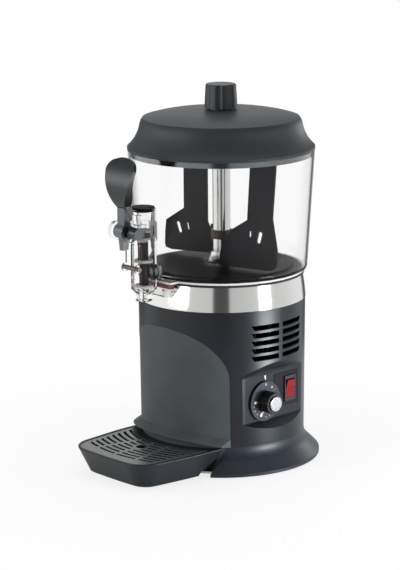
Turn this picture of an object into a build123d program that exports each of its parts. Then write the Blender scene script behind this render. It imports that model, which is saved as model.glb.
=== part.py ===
from build123d import *
import os
from math import acos, atan2, cos, degrees, pi, radians, sin, sqrt, tan

# Sizes are in millimetres. Everything is drawn with the drum axis at X = Y = 0 and the table at Z = 0, and
# saved with the middle of the footprint at the origin. +Z is up, the front of the machine faces -Y and its
# control side faces +X.

# Walls and clearances
WALL = 3.0                  # moulded shells
SHEET = 1.5                 # pressed steel
RUN_GAP = 0.05              # radial play of turning and sliding fits
SEAM_GAP = 0.3              # play between neighbouring mouldings
LIFT_GAP = 0.6              # play round pieces that lift or slide out

# Base: feet, bottom plate and flared skirt
FOOT_R = 10.0
FOOT_H = 4.5
FOOT_EDGE = 14.0            # foot centre in from the plate's edge
FOOT_FRONT_ANGLE = -34.0
FOOT_REAR_ANGLE = 48.0
BASE_PLATE_INSET = 7.5      # plate edge in from the skirt rim
BASE_PLATE_T = 2.5
AIR_HOLE_R = 4.0
AIR_HOLE_CIRCLE_R = 62.0
AIR_HOLE_COUNT = 10
SKIRT_GAP = 1.5             # skirt rim above the table
SKIRT_H = 33.0
SKIRT_RIM_R = 125.5
SKIRT_EDGE_H = 3.9          # upright edge of the rim
SKIRT_BEND_R = 22.0         # concave bend between drum and flare
SKIRT_SPIGOT_H = 6.5        # collar that centres the drum
SKIRT_FLANGE_W = 9.0        # flange that lies on the bottom plate
CHEEK_T = 2.5               # walls that close the skirt beside the tray

# Drum
DRUM_H = 174.5
DRUM_BOTTOM_R = 105.5
DRUM_TOP_R = 107.0
VENT_ROWS = 5
VENT_PITCH = 9.85
VENT_H = 7.3
VENT_TOP_BELOW_RIM = 19.1
VENT_INNER_Y = 3.0          # half of the web between the two columns
VENT_OUTER_Y = 43.3
VENT_SLANT = 4.4            # lean of each slot's outer end
VENT_CENTRE_Y = 1.5
LOUVRE_RISE = 2.6           # slope of a slot's lower face through the wall
RECESS_DEPTH = 13.0         # flat control face behind the drum's lower edge
RECESS_RISE = 28.5          # foot of the control face above the seam
RECESS_H = 62.0
RECESS_FLOOR_SLOPE = 0.7    # fall of the floor per unit outward
RECESS_ROOF_SLOPE = 1.067   # rise of the roof per unit outward
RECESS_FLOOR_R = 4.0
RECESS_ROOF_R = 10.0

# Front panel with drip ledge
ARCH_HALF = 84.0
ARCH_RISE = 149.5           # top of the arch above the seam
ARCH_TOP_R = 150.0
ARCH_CORNER_R = 60.0
PANEL_SET_BACK = 0.4        # panel face behind the drum's face
PANEL_T = 3.5
PANEL_FLANGE = 4.5          # overlap behind the drum wall
PANEL_FLANGE_T = 2.4
LEDGE_TILT = 12.0
LEDGE_PIVOT_DROP = 7.5      # tilt axis below the seam
LEDGE_REACH = 11.0          # tip beyond the panel face
LEDGE_DROP = 4.5            # tip below the tilted middle plane
LEDGE_EDGE = 1.5
LEDGE_BLEND_RISE = 9.5      # start of the blend above the middle plane
LEDGE_BLEND_DROP = 7.1
LEDGE_BLEND_REACH = 3.6

# Drip tray and grille
TRAY_HALF = 79.0
TRAY_BACK_Y = -59.0
TRAY_BEND_IN = 1.0          # sides draw in this much down to the bend
TRAY_BEND_Y = -115.0
TRAY_BEND_R = 300.0
TRAY_FRONT_IN = 10.5        # and this much down to the front corners
TRAY_FRONT_Y = -203.5
TRAY_FRONT_BOW = 3.0
TRAY_CORNER_R = 34.0
TRAY_BACK_GAP = 1.7         # behind the tray, to the panel
TRAY_SIDE_GAP = 1.5         # beside the tray, to the skirt
TRAY_PLATE_GAP = 3.0        # round the bottom plate that the floor bridges
TRAY_Z = 1.2
TRAY_TAPER = 13.0           # inset of the bottom outline
TRAY_RAKE = 3.5             # bottom outline set back
TRAY_WALL = 2.6
TRAY_EDGE_R = 1.4
TRAY_RIM = 3.8              # width of the rim round the grille
TRAY_LEDGE = 2.6            # shelf that carries the grille
GRILLE_T = 2.5
GRILLE_SINK = 0.8           # below the tray rim
GRILLE_BACK_GAP = 2.2       # clear of the drip ledge when it lifts
GRILLE_BORDER = 8.0
SLOT_FRONT_LAND = 21.2      # from the tray front to the first row
SLOT_PITCH = 8.75
SLOT_ROWS = 8
SLOT_W = 4.0
RIB_W = 5.0
RIB_ANGLE = 11.5
DRIP_HOLE_AHEAD = 7.5       # ahead of the tap's axis
DRIP_HOLE_R = 7.0
DRIP_HOLE_LAND = 4.0

# Control parts, with heights above the foot of the control face
SWITCH_PLATE_FROM_Y = 3.0
SWITCH_PLATE_TO_Y = 45.5
SWITCH_PLATE_RISE = 12.5
SWITCH_PLATE_H = 43.5
SWITCH_PLATE_T = 0.8
SWITCH_Y = 29.3
SWITCH_RISE = 34.3
ROCKER_W = 14.0
ROCKER_R = 11.8             # swing radius of the rocker's ends
ROCKER_FACE_ANGLE = 8.0
ROCKER_AXLE_R = 1.5
ROCKER_AXLE_L = 0.9         # into the housing wall
ROCKER_PIVOT_IN = 1.0       # axle behind the bezel's front
HOUSING_WALL = 1.2
HOUSING_END_WALL = 2.9
HOUSING_DEPTH = 22.0
BEZEL_LIP = 1.0
BEZEL_END_LIP = 1.5
BEZEL_T = 2.2
DIAL_Y = -15.0
DIAL_RISE = 25.1
DIAL_R = 25.5
DIAL_GAP = 1.5
DIAL_T = 2.2
DIAL_KNOB_R = 13.5
DIAL_KNOB_L = 16.8
DIAL_FLUTES = 18
DIAL_FLUTE_R = 1.0
DIAL_CAP_R = 9.7
DIAL_CAP_T = 2.8
DIAL_CAP_ROUND = 0.9
DIAL_SHAFT_R = 3.0
THERMOSTAT_SIDE = 38.0
THERMOSTAT_DEPTH = 26.0

# Water bath tank, heating plate and column
BAND_H = 31.0
BAND_OVERHANG = 0.6         # lower edge beyond the drum
BAND_TAPER = 4.0            # upper edge drawn in
BAND_BULGE = 0.5
BAND_BULGE_RISE = 14.0
TANK_DEPTH = 17.0           # spigot below the drum rim
TANK_LIP_W = 3.1
GASKET_H = 3.0
GASKET_OVERHANG = 2.2       # beyond the band's upper edge
GASKET_W = 4.6
HOTPLATE_INSET = 0.6        # inside the band's upper edge
HOTPLATE_RIM_RISE = 4.3     # rim above the gasket
HOTPLATE_RIM_W = 14.0
HOTPLATE_STEP = 2.7
HOTPLATE_EDGE = 1.0
HOTPLATE_SHEET = 1.6
HEATER_R = 70.0
HEATER_TUBE_R = 4.0
HEATER_ABOVE_FLOOR = 12.0
HEATER_ARC = 320.0
HEATER_LEG_L = 26.0
COLUMN_R = 11.2
COLUMN_WALL = 1.5
COLUMN_H = 130.0            # above the heating plate
COLUMN_TAIL = 6.0           # tube below the tank floor
COLUMN_FOOT_W = 12.3        # foot rim beyond the tube
COLUMN_FOOT_H = 16.0
COLUMN_FOOT_EDGE = 3.0
COLUMN_NECK_W = 2.8
BUSH_L = 12.0
BUSH_FLANGE = 2.0
SHAFT_R = 4.0

# Bowl
BOWL_H = 155.0
BOWL_TOE_H = 8.0            # rounded toe at the bottom
BOWL_TOE_FLARE = 4.2
BOWL_FLARE = 9.0            # widening from the toe to the top
OUTLET_RISE = 12.5          # outlet axis above the bowl's lower edge
OUTLET_R = 4.5
OUTLET_BOSS_R = 10.5
SPIGOT_R = 7.5
SPIGOT_L = 6.0
CHUTE_TOP_HALF = 33.0
CHUTE_LOW_HALF = 18.5
CHUTE_TOP_RISE = 5.0        # above the bowl's lower edge
CHUTE_DROP = 17.0           # below the bowl's lower edge
CHUTE_BAND_GAP = 0.8        # clear of the steel band
CHUTE_WALL = 2.5
SEAL_HALF = 27.0
SEAL_H = 8.5
SEAL_ABOVE_CHUTE = 10.0

# Tap
TAP_BELOW_OUTLET = 21.5
TAP_BOWL_GAP = 0.55
TAP_R = 16.0
TAP_WALL = 4.0
TAP_H = 103.5
TAP_FLOOR = 4.5
SPOUT_L = 12.0
SPOUT_R = 10.5
SPOUT_BORE_R = 5.0
COLLAR_STEP = 1.2           # collar proud of the tube
COLLAR_BELOW_TOP = 17.5
COLLAR_H = 21.0
TAP_SLOT_HALF = 9.7
TAP_SLOT_MARGIN = 6.0       # slot below the collar, and roof above the slot
CAP_R = 14.5
CAP_T = 2.5
CAP_PLUG_L = 3.0
PISTON_R = 5.8
PISTON_GROOVE = 6.8         # gap between the two flanges
PISTON_FLANGE_R = 9.5
PISTON_FLANGE_T = 2.6
SEAL_RING_T = 2.6
UPPER_SEAL_RISE = 37.0
PIVOT_REACH = 32.5          # ahead of the tap's axis
PIVOT_BELOW_TOP = 24.0
PIVOT_R = 3.0
PIVOT_HEAD_R = 7.5
PIVOT_HEAD_GAP = 1.8
PIVOT_HEAD_L = 13.0
EAR_R = 12.0
EAR_T = 6.0
EAR_ARM_T = 5.0
EAR_ARM_H = 15.0
FIN_X = 11.7
FIN_T = 2.4
FIN_REACH = 18.5
FIN_BELOW_STOP = 3.5
STOP_REACH = 20.0
STOP_BELOW_PIVOT = 48.0
STOP_R = 3.0
STOP_HALF = 15.2
STOP_EYE_R = 5.5

# Tap lever and grip, from the pivot
LEVER_HUB_R = 9.0
LEVER_HUB_HALF = 8.6
STEM_HALF = 6.5
STEM_AHEAD = 3.75
STEM_DEPTH = 9.5
STEM_RISE = 29.5
TANG_HALF = 4.0
TANG_AHEAD = 3.0
TANG_T = 2.8
TANG_RISE = 48.0
TAIL_ROOT_HALF = 6.2
TAIL_TIP_HALF = 2.6
TAIL_DROP = 23.5
LEVER_DROOP = 14.0          # fork below level when the tap is shut
FORK_FROM = 6.3
FORK_TO = 9.2
FORK_H = 2.6
FORK_PAD_R = 3.0
FORK_BRIDGE = 14.0          # from the pivot to the bridge that carries the prongs
FORK_BRIDGE_T = 3.0
GRIP_TOE_HALF = 6.5
GRIP_TOE_RISE = 13.5
GRIP_FOOT_HALF = 8.25
GRIP_FOOT_RISE = 31.5
GRIP_FLARE_HALF = 20.2
GRIP_FLARE_RISE = 56.5
GRIP_WIDE_HALF = 25.8
GRIP_WIDE_RISE = 76.5
GRIP_TURN_HALF = 23.6
GRIP_TURN_RISE = 82.5
GRIP_BROW_HALF = 14.5
GRIP_BROW_RISE = 88.3
GRIP_RISE = 91.1
GRIP_FACE = ((-4.5, 31.5), (-10.2, 52.5), (-6.4, 71.9), (4.2, 91.1))
GRIP_BACK = ((6.0, 89.5), (0.0, 77.0), (-1.9, 62.0), (2.2, 45.0), (9.3, 13.5))

# Stirrer; blade corners are (distance across, height above the heating plate)
STIR_TURN = 17.5            # angle of the blades as seen from above
STIR_OFFSET = 25.0          # blade planes from the axis
STIR_T = 3.0
STIR_FLOOR_GAP = 2.5
STIR_WALL_GAP = 1.2         # widest corner clear of the bowl's mouth when the bowl lifts
STIR_HUB_R = 11.2
STIR_HUB_H = 15.0           # above the column
STIR_BAR_W = 10.0
STIR_BAR_H = 8.0
STIR_BUSH_WALL = 2.2
STIR_BUSH_RISE = 32.5
STIR_BUSH_H = 11.0
STIR_WEB_T = 3.5
FRONT_BLADE_IN = 56.5
FRONT_BLADE_OUT = 92.7
FRONT_BLADE_SIDE = ((87.1, 68.8), (93.5, 30.0), (93.5, 9.5))
FRONT_BLADE_TOE = 86.0
FRONT_BLADE_ROOT = ((12.0, 18.0), (14.0, 24.0), (17.0, 34.0), (23.5, 37.2), (27.2, 49.2), (51.6, 64.6))
FRONT_BAR_X = 74.0
FRONT_WEB_X = 26.0
BACK_BLADE_IN = -34.6
BACK_BLADE_OUT = -69.6
BACK_BLADE_SHOULDER = 61.0
BACK_BLADE_TIP = ((2.3, 43.3), (0.5, 27.0), (0.0, 12.0), (1.4, 6.7), (10.3, 4.4))   # in from the wide corner
BACK_BLADE_ROOT = ((-28.4, 5.4), (-26.7, 35.2), (-31.9, 40.0), (-34.6, 46.0))
BACK_BAR_X = -52.0
BACK_WEB_X = -28.5
SMALL_SLOT_W = 3.0
LARGE_SLOT_W = 5.5
LARGE_SLOT_L = 15.5
FRONT_SMALL_SLOT = (55.75, 46.6)
FRONT_SMALL_SLOT_L = 8.5
FRONT_SMALL_TILT = -7.8
FRONT_LARGE_SLOT = (69.0, 43.3)
FRONT_LARGE_TILT = -14.8
BACK_SMALL_SLOT = (-63.7, 37.4)
BACK_SMALL_SLOT_L = 10.0
BACK_SMALL_TILT = 11.6
BACK_LARGE_SLOT = (-77.1, 34.9)
BACK_LARGE_TILT = 17.5

# Lid
LID_RIM_H = 3.5
LID_FLANK_IN = 9.9          # in from the rim, half way up the flare
LID_FLANK_RISE = 15.6
LID_SHOULDER_IN = 15.7
LID_SHOULDER_RISE = 31.5
LID_CREASE_IN = 19.5
LID_CREASE_RISE = 40.0
LID_BROW_R = 60.0
LID_BROW_RISE = 47.6
LID_DOME_RISE = 50.0
LID_COLLAR_H = 7.0
LID_COLLAR_T = 2.0
KNOB_R = 21.0
KNOB_TOP_R = 19.3
KNOB_H = 30.0
KNOB_FOOT_R = 17.0
KNOB_GAP = 2.0              # under the knob's edge
KNOB_SEAT = 1.0             # foot let into the lid
KNOB_FLUTES = 8
KNOB_FLUTE_R = 9.0
KNOB_FLUTE_DEPTH = 1.6
KNOB_TURN = -5.7
KNOB_ROUND = 2.0
LID_SCREW_R = 2.5
LID_SCREW_HEAD_R = 5.0
LID_SCREW_HEAD_T = 2.5
LID_SCREW_L = 22.0

# Drive
GEAR_MODULE = 1.0
GEAR_ADDENDUM = 0.9         # tooth above and below the pitch line, in modules
GEAR_DEDENDUM = 1.2
FLANK_STEPS = 4
PINION_TEETH = 16
WHEEL_TEETH = 48
PRESSURE_ANGLE = 20.0
BACKLASH = 0.12             # thinning of every tooth
GEAR_W = 6.0
GEAR_LAYER_GAP = 2.0
GEAR_HUB_WALL = 2.4
GEARBOX_RISE = 113.0        # above the bottom plate
GEARBOX_WALL = 3.0
GEARBOX_ROOM = 3.0          # clear of the gear tips
IDLER_ANGLE = 120.0         # from the output axis
MOTOR_ANGLE = 210.0         # from the idler axis
IDLER_PIN_R = 2.5
ROTOR_SHAFT_R = 2.0
ROTOR_SHAFT_ROOM = 2.0      # round the shaft where it passes the bracket
ROTOR_R = 14.0
ROTOR_GAP = 0.4
STACK_W = 60.0
STACK_BACK = 24.0
STACK_FRONT = 42.0
STACK_T = 28.0
STACK_LIMB = 9.0
STACK_WINDOW = 15.0
COIL_L = 34.0
COIL_T = 7.0
BRACKET_T = 2.5
BRACKET_WALL_GAP = 7.5      # from the drum wall
BRACKET_FROM = (-95.0, -36.0)
BRACKET_TO = (38.0, 62.0)
BRACKET_POSTS = ((-58.0, -27.0), (29.0, -27.0), (29.0, 53.0), (-84.0, 27.0))
POST_R = 4.0

# Electrics and fixings
TIE_WALL_GAP = 17.5         # rod axes from the drum wall
TIE_ANGLES = (90.0, 240.0, 300.0)
TIE_R = 3.0
TIE_NUT_R = 5.5
TIE_NUT_T = 2.6
CUTOUT_AT = (46.0, 40.0)
CUTOUT_R = 12.0
CUTOUT_FLANGE_T = 3.0
CUTOUT_BODY_R = 8.0
CUTOUT_H = 13.0
BULB_AT = (52.0, -40.0)
BULB_R = 3.0
BULB_L = 60.0
CAPILLARY_R = 1.0
CAPILLARY_DROP = 18.0       # cross run below the bulb
TERMINAL_AT = (30.0, 74.0)
TERMINAL_SIZE = (36.0, 16.0, 14.0)
TERMINAL_POLES = 3
TERMINAL_HOLE_R = 2.4
TERMINAL_HOLE_DEPTH = 3.0
GLAND_RISE = 23.5           # above the seam
GLAND_BORE_R = 3.7
GLAND_R = 7.0
GLAND_FLANGE_R = 11.0
GLAND_FLANGE_T = 4.0
GLAND_NUT_T = 5.0
GLAND_TAIL = 6.0

# Levels that follow from the sizes above
SEAM_Z = SKIRT_GAP + SKIRT_H
BASE_TOP_Z = FOOT_H + BASE_PLATE_T
DRUM_TOP_Z = SEAM_Z + DRUM_H
TANK_TOP_Z = DRUM_TOP_Z + BAND_H
TANK_FLOOR_Z = DRUM_TOP_Z - TANK_DEPTH
BOWL_Z = TANK_TOP_Z + GASKET_H
BOWL_TOE_Z = BOWL_Z + BOWL_TOE_H
BOWL_TOP_Z = BOWL_Z + BOWL_H
HOTPLATE_RIM_Z = BOWL_Z + HOTPLATE_RIM_RISE
HOTPLATE_Z = HOTPLATE_RIM_Z + HOTPLATE_STEP
COLUMN_TOP_Z = HOTPLATE_Z + COLUMN_H
STIR_TOP_Z = COLUMN_TOP_Z + STIR_HUB_H
STIR_BUSH_Z = HOTPLATE_Z + STIR_BUSH_RISE
OUTLET_Z = BOWL_Z + OUTLET_RISE
TAP_Z = OUTLET_Z - TAP_BELOW_OUTLET
TAP_TOP_Z = TAP_Z + TAP_H
COLLAR_TOP_Z = TAP_TOP_Z - COLLAR_BELOW_TOP
COLLAR_Z = COLLAR_TOP_Z - COLLAR_H
PIVOT_Z = TAP_TOP_Z - PIVOT_BELOW_TOP
STOP_Z = PIVOT_Z - STOP_BELOW_PIVOT
LID_TOP_Z = BOWL_TOP_Z + LID_DOME_RISE
TRAY_TOP_Z = SEAM_Z
ARCH_APEX_Z = SEAM_Z + ARCH_RISE
RECESS_Z = SEAM_Z + RECESS_RISE
SWITCH_Z = RECESS_Z + SWITCH_RISE
DIAL_Z = RECESS_Z + DIAL_RISE
GEARBOX_Z = BASE_TOP_Z + GEARBOX_RISE
GLAND_Z = SEAM_Z + GLAND_RISE

# Radii and distances that follow
BASE_PLATE_R = SKIRT_RIM_R - BASE_PLATE_INSET
RECESS_X = DRUM_BOTTOM_R - RECESS_DEPTH
PANEL_R = DRUM_BOTTOM_R - PANEL_SET_BACK
LEDGE_TIP_R = PANEL_R + LEDGE_REACH
SKIRT_CUT_HALF = TRAY_HALF + TRAY_SIDE_GAP
TRAY_BACK_R = PANEL_R + TRAY_BACK_GAP
TRAY_BRIDGE_R = BASE_PLATE_R + TRAY_PLATE_GAP
GRILLE_BACK_R = LEDGE_TIP_R + GRILLE_BACK_GAP
SLOT_OUTER_R = -TRAY_FRONT_Y - SLOT_FRONT_LAND
BAND_BOTTOM_R = DRUM_TOP_R + BAND_OVERHANG
BAND_TOP_R = BAND_BOTTOM_R - BAND_TAPER
GASKET_R = BAND_TOP_R + GASKET_OVERHANG
HOTPLATE_R = BAND_TOP_R - HOTPLATE_INSET
BOWL_MOUTH_R = HOTPLATE_R + LIFT_GAP
BOWL_LOW_R = GASKET_R + BOWL_TOE_FLARE
BOWL_TOP_R = BOWL_LOW_R + BOWL_FLARE
CHUTE_BACK_R = BAND_BOTTOM_R + CHUTE_BAND_GAP
COLUMN_BORE_R = COLUMN_R - COLUMN_WALL
STIR_BUSH_R = COLUMN_R + STIR_BUSH_WALL
HOUSING_W = ROCKER_W + 2 * (SEAM_GAP + HOUSING_WALL)
HOUSING_H = 2 * (ROCKER_R + SEAM_GAP + HOUSING_END_WALL)
TIE_CIRCLE_R = DRUM_BOTTOM_R - WALL - TIE_WALL_GAP
GEAR_CENTRES = GEAR_MODULE * (PINION_TEETH + WHEEL_TEETH) / 2
EAR_FROM = LEVER_HUB_HALF + LIFT_GAP
EAR_TO = EAR_FROM + EAR_T

FAR = 2 * SKIRT_RIM_R       # beyond every side of the machine
HIGH = 2 * BOWL_TOP_Z       # above all of it
UPRIGHT = (Align.CENTER, Align.CENTER, Align.MIN)


def post(radius, low, high, x=0.0, y=0.0):
    """Upright round bar."""
    return Pos(x, y, low) * Cylinder(radius, high - low, align=UPRIGHT)


def tube(outer, inner, low, high, x=0.0, y=0.0):
    """Upright ring or tube."""
    return post(outer, low, high, x, y) - post(inner, low, high, x, y)


def bar_x(radius, start, end, y, z):
    """Round bar along X."""
    return Pos(start, y, z) * Rot(0, 90, 0) * Cylinder(radius, end - start, align=UPRIGHT)


def bar_y(radius, start, end, x, z):
    """Round bar along Y."""
    return Pos(x, start, z) * Rot(-90, 0, 0) * Cylinder(radius, end - start, align=UPRIGHT)


def block(x, y, z):
    """Box between pairs of limits."""
    place = Pos((x[0] + x[1]) / 2, (y[0] + y[1]) / 2, (z[0] + z[1]) / 2)
    return place * Box(x[1] - x[0], y[1] - y[0], z[1] - z[0])


def turned(*edges):
    """Solid of revolution about the drum axis from (radius, height) edges."""
    return revolve(Plane.XZ * make_face(list(edges)), Axis.Z)


def turned_outline(*points):
    """Solid of revolution from straight (radius, height) steps."""
    return turned(*Polyline(*points, close=True).edges())


def prism_x(face, start, end):
    """Outline given in (Y, Z), drawn out along X."""
    return extrude(Plane(origin=(start, 0, 0), x_dir=(0, 1, 0), z_dir=(1, 0, 0)) * face, end - start)


def prism_y(face, start, end):
    """Outline given in (X, Z), drawn out along Y."""
    return extrude(Plane(origin=(0, end, 0), x_dir=(1, 0, 0), z_dir=(0, -1, 0)) * face, end - start)


def outline(*points):
    """Flat face with straight sides."""
    return make_face(Polyline(*points, close=True).edges())


def both_sides(solid):
    """The solid and its mirror image across the middle plane."""
    return solid + mirror(solid, Plane.YZ)


def polar(radius, angle):
    """Point on a circle, the angle in degrees from +X."""
    return (radius * cos(radians(angle)), radius * sin(radians(angle)))


def drum_radius(z):
    """Outside radius of the drum at a height."""
    return DRUM_BOTTOM_R + (DRUM_TOP_R - DRUM_BOTTOM_R) * (z - SEAM_Z) / DRUM_H


def drum_core(inset, low, high):
    """Tapered core parallel to the drum's face, drawn in by an inset."""
    low_r = drum_radius(low) - inset
    high_r = drum_radius(high) - inset
    return turned_outline((0, low), (low_r, low), (high_r, high), (0, high))


def bowl_radius(z):
    """Outside radius of the bowl's tapered wall at a height."""
    return BOWL_LOW_R + BOWL_FLARE * (z - BOWL_TOE_Z) / (BOWL_TOP_Z - BOWL_TOE_Z)


# Tap axis: the tube stands clear of the bowl at the height of its cap.
TAP_Y = -(bowl_radius(TAP_TOP_Z + CAP_T) + TAP_BOWL_GAP + TAP_R)
OUTLET_FACE_Y = TAP_Y + TAP_R + SEAM_GAP
PIVOT_Y = TAP_Y - PIVOT_REACH
STOP_Y = TAP_Y - STOP_REACH

# Rubber feet: four plain discs under the bottom plate.
foot_circle_r = BASE_PLATE_R - FOOT_EDGE
foot_places = [polar(foot_circle_r, a) for a in (FOOT_FRONT_ANGLE, FOOT_REAR_ANGLE)]
rubber_feet = Compound([post(FOOT_R, 0, FOOT_H, side * x, y) for x, y in foot_places for side in (-1, 1)])

# Bottom plate: steel disc with air holes; the tie rods pass through it.
tie_places = [polar(TIE_CIRCLE_R, a) for a in TIE_ANGLES]
base_plate = post(BASE_PLATE_R, FOOT_H, BASE_TOP_Z)
for hole in PolarLocations(AIR_HOLE_CIRCLE_R, AIR_HOLE_COUNT):
    base_plate -= hole * post(AIR_HOLE_R, 0, BASE_TOP_Z)
for x, y in tie_places:
    base_plate -= post(TIE_R, 0, BASE_TOP_Z, x, y)

# Skirt: flared shell with a collar for the drum, open at the front, with cheeks beside the tray.
bend = (DRUM_BOTTOM_R + SKIRT_BEND_R, SEAM_Z)
rim_in = bend[0] - SKIRT_RIM_R
rim_down = SKIRT_H - SKIRT_EDGE_H
flare_turn = atan2(rim_down, rim_in) - acos(SKIRT_BEND_R / sqrt(rim_in ** 2 + rim_down ** 2))


def bend_point(radius, angle):
    """Point on the skirt's concave bend."""
    return (bend[0] - radius * cos(angle), bend[1] - radius * sin(angle))


def skirt_side(inset):
    """Edges of one face of the skirt, from its rim up to the seam, and the two end points."""
    radius = SKIRT_BEND_R + inset
    low = bend_point(radius, flare_turn)
    rim_r = SKIRT_RIM_R - inset
    rim = (rim_r, low[1] - (rim_r - low[0]) / tan(flare_turn))
    foot = (rim_r, SKIRT_GAP)
    top = bend_point(radius, 0)
    edges = [Line(foot, rim), Line(rim, low), ThreePointArc(low, bend_point(radius, flare_turn / 2), top)]
    return edges, foot, top


outer_side, outer_foot, outer_top = skirt_side(0)
inner_side, inner_foot, inner_top = skirt_side(WALL)
skirt_shell = turned(*outer_side, *inner_side, Line(outer_top, inner_top), Line(outer_foot, inner_foot))
skirt_full = turned(*outer_side, Line(outer_top, (0, SEAM_Z)), Line((0, SEAM_Z), (0, SKIRT_GAP)),
                    Line((0, SKIRT_GAP), outer_foot))
spigot_r = DRUM_BOTTOM_R - WALL - SEAM_GAP
spigot = tube(spigot_r, spigot_r - WALL, SEAM_Z - SKIRT_SPIGOT_H, SEAM_Z + SKIRT_SPIGOT_H)
spigot += tube(spigot_r + WALL / 2, spigot_r - WALL, SEAM_Z - SKIRT_SPIGOT_H, SEAM_Z)
spigot_half = ARCH_HALF + PANEL_FLANGE + SEAM_GAP
spigot -= block((-spigot_half, spigot_half), (-FAR, 0), (0, DRUM_TOP_Z))
flange_in = BASE_PLATE_R + SEAM_GAP - SKIRT_FLANGE_W
skirt_flange = tube(SKIRT_RIM_R - WALL / 2, flange_in, BASE_TOP_Z, BASE_TOP_Z + WALL)
base_skirt = skirt_shell + (skirt_flange & skirt_full)
base_skirt -= block((-SKIRT_CUT_HALF, SKIRT_CUT_HALF), (-FAR, 0), (0, DRUM_TOP_Z))
cheek = block((SKIRT_CUT_HALF, SKIRT_CUT_HALF + CHEEK_T), (-FAR, 0), (BASE_TOP_Z, SEAM_Z))
cheek = (cheek & skirt_full) - post(DRUM_BOTTOM_R - SEAM_GAP, 0, DRUM_TOP_Z)
base_skirt += both_sides(cheek)
base_skirt += spigot

# Drum: tapered shell with the arched opening, louvre vents and the flat control recess.
drum_outside = drum_core(0, SEAM_Z, DRUM_TOP_Z)
drum_inside = drum_core(WALL, SEAM_Z, DRUM_TOP_Z)


def recess_prism(inset):
    """Volume cut away for the control face, drawn back by a wall thickness."""
    face_x = RECESS_X - inset
    reach = 2 * DRUM_TOP_R - face_x
    low = RECESS_Z - inset * (sqrt(1 + RECESS_FLOOR_SLOPE ** 2) - RECESS_FLOOR_SLOPE)
    top = RECESS_Z + RECESS_H + inset * (sqrt(1 + RECESS_ROOF_SLOPE ** 2) - RECESS_ROOF_SLOPE)
    face = outline((face_x, low), (face_x, top), (face_x + reach, top + RECESS_ROOF_SLOPE * reach),
                   (face_x + reach, low - RECESS_FLOOR_SLOPE * reach))
    face = fillet(face.vertices().group_by(Axis.X)[0].sort_by(Axis.Y)[-1], RECESS_ROOF_R + inset)
    face = fillet(face.vertices().group_by(Axis.X)[0].sort_by(Axis.Y)[0], RECESS_FLOOR_R + inset)
    return prism_y(face, -DRUM_TOP_R, DRUM_TOP_R)


def arch_prism(grow, bottom):
    """Arched block for the front opening, grown outward by a margin, from a bottom level upward."""
    centre_z = ARCH_APEX_Z - ARCH_TOP_R
    corner_x = ARCH_HALF - ARCH_CORNER_R
    corner_z = centre_z + sqrt((ARCH_TOP_R - ARCH_CORNER_R) ** 2 - corner_x ** 2)
    turn = atan2(corner_z - centre_z, corner_x)
    half = ARCH_HALF + grow
    top_r = ARCH_TOP_R + grow
    corner_r = ARCH_CORNER_R + grow
    join = (top_r * cos(turn), centre_z + top_r * sin(turn))
    middle = (corner_x + corner_r * cos(turn / 2), corner_z + corner_r * sin(turn / 2))
    right = [Line((half, bottom), (half, corner_z)), ThreePointArc((half, corner_z), middle, join)]
    left = [mirror(edge, Plane.YZ) for edge in right]
    top = ThreePointArc(join, (0, ARCH_APEX_Z + grow), (-join[0], join[1]))
    return prism_y(make_face([*right, top, *left, Line((-half, bottom), (half, bottom))]), -FAR, 0)


housing_drum = drum_outside - drum_inside
housing_drum += (recess_prism(WALL) & drum_outside) - recess_prism(0)
housing_drum -= recess_prism(0)
housing_drum -= arch_prism(0, 0)
vent_top = DRUM_TOP_Z - VENT_TOP_BELOW_RIM
vent_face = outline((VENT_INNER_Y, -VENT_H), (VENT_INNER_Y, 0), (VENT_OUTER_Y, 0),
                    (VENT_OUTER_Y - VENT_SLANT, -VENT_H))
vent_r = drum_radius(vent_top - VENT_ROWS * VENT_PITCH / 2)
slot_in = vent_r - 2 * WALL
slot_out = vent_r + WALL
louvre = turned_outline((slot_in, -VENT_H + LOUVRE_RISE), (slot_out, -VENT_H), (slot_out, 0), (slot_in, 0))
vent = prism_x(vent_face, 0, 2 * DRUM_TOP_R) & louvre
vent_pair = vent + mirror(vent, Plane.XZ)
for row in range(VENT_ROWS):
    housing_drum -= Pos(0, VENT_CENTRE_Y, vent_top - row * VENT_PITCH) * vent_pair
switch_hole = block((0, FAR), (SWITCH_Y - HOUSING_W / 2, SWITCH_Y + HOUSING_W / 2),
                    (SWITCH_Z - HOUSING_H / 2, SWITCH_Z + HOUSING_H / 2))
housing_drum -= switch_hole
housing_drum -= bar_x(DIAL_SHAFT_R + SEAM_GAP, RECESS_X - 2 * WALL, RECESS_X + WALL, DIAL_Y, DIAL_Z)
housing_drum -= bar_y(GLAND_R, 0, FAR, 0, GLAND_Z)

# Front panel: curved arched insert with a flange behind the drum wall and the sloping drip ledge.
panel_half = SKIRT_CUT_HALF - SEAM_GAP
panel_low = SEAM_Z + SEAM_GAP
panel_inside = drum_core(PANEL_SET_BACK + PANEL_T, BASE_TOP_Z, DRUM_TOP_Z)
panel_shell = drum_core(PANEL_SET_BACK, BASE_TOP_Z, DRUM_TOP_Z) - panel_inside
panel_zone = arch_prism(-SEAM_GAP, panel_low)
panel_zone += block((-panel_half, panel_half), (-FAR, 0), (BASE_TOP_Z, panel_low))
flange_inset = WALL + SEAM_GAP
flange_shell = drum_core(flange_inset, panel_low, DRUM_TOP_Z)
flange_shell -= drum_core(flange_inset + PANEL_FLANGE_T, panel_low, DRUM_TOP_Z)
flange_zone = arch_prism(PANEL_FLANGE, panel_low) - arch_prism(-PANEL_FLANGE, 0)
root_r = PANEL_R - PANEL_T / 2
tip_z = -LEDGE_DROP - LEDGE_EDGE
blend_start = (PANEL_R, LEDGE_BLEND_RISE)
blend_end = (PANEL_R + LEDGE_BLEND_REACH, LEDGE_BLEND_RISE - LEDGE_BLEND_DROP)
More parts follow.
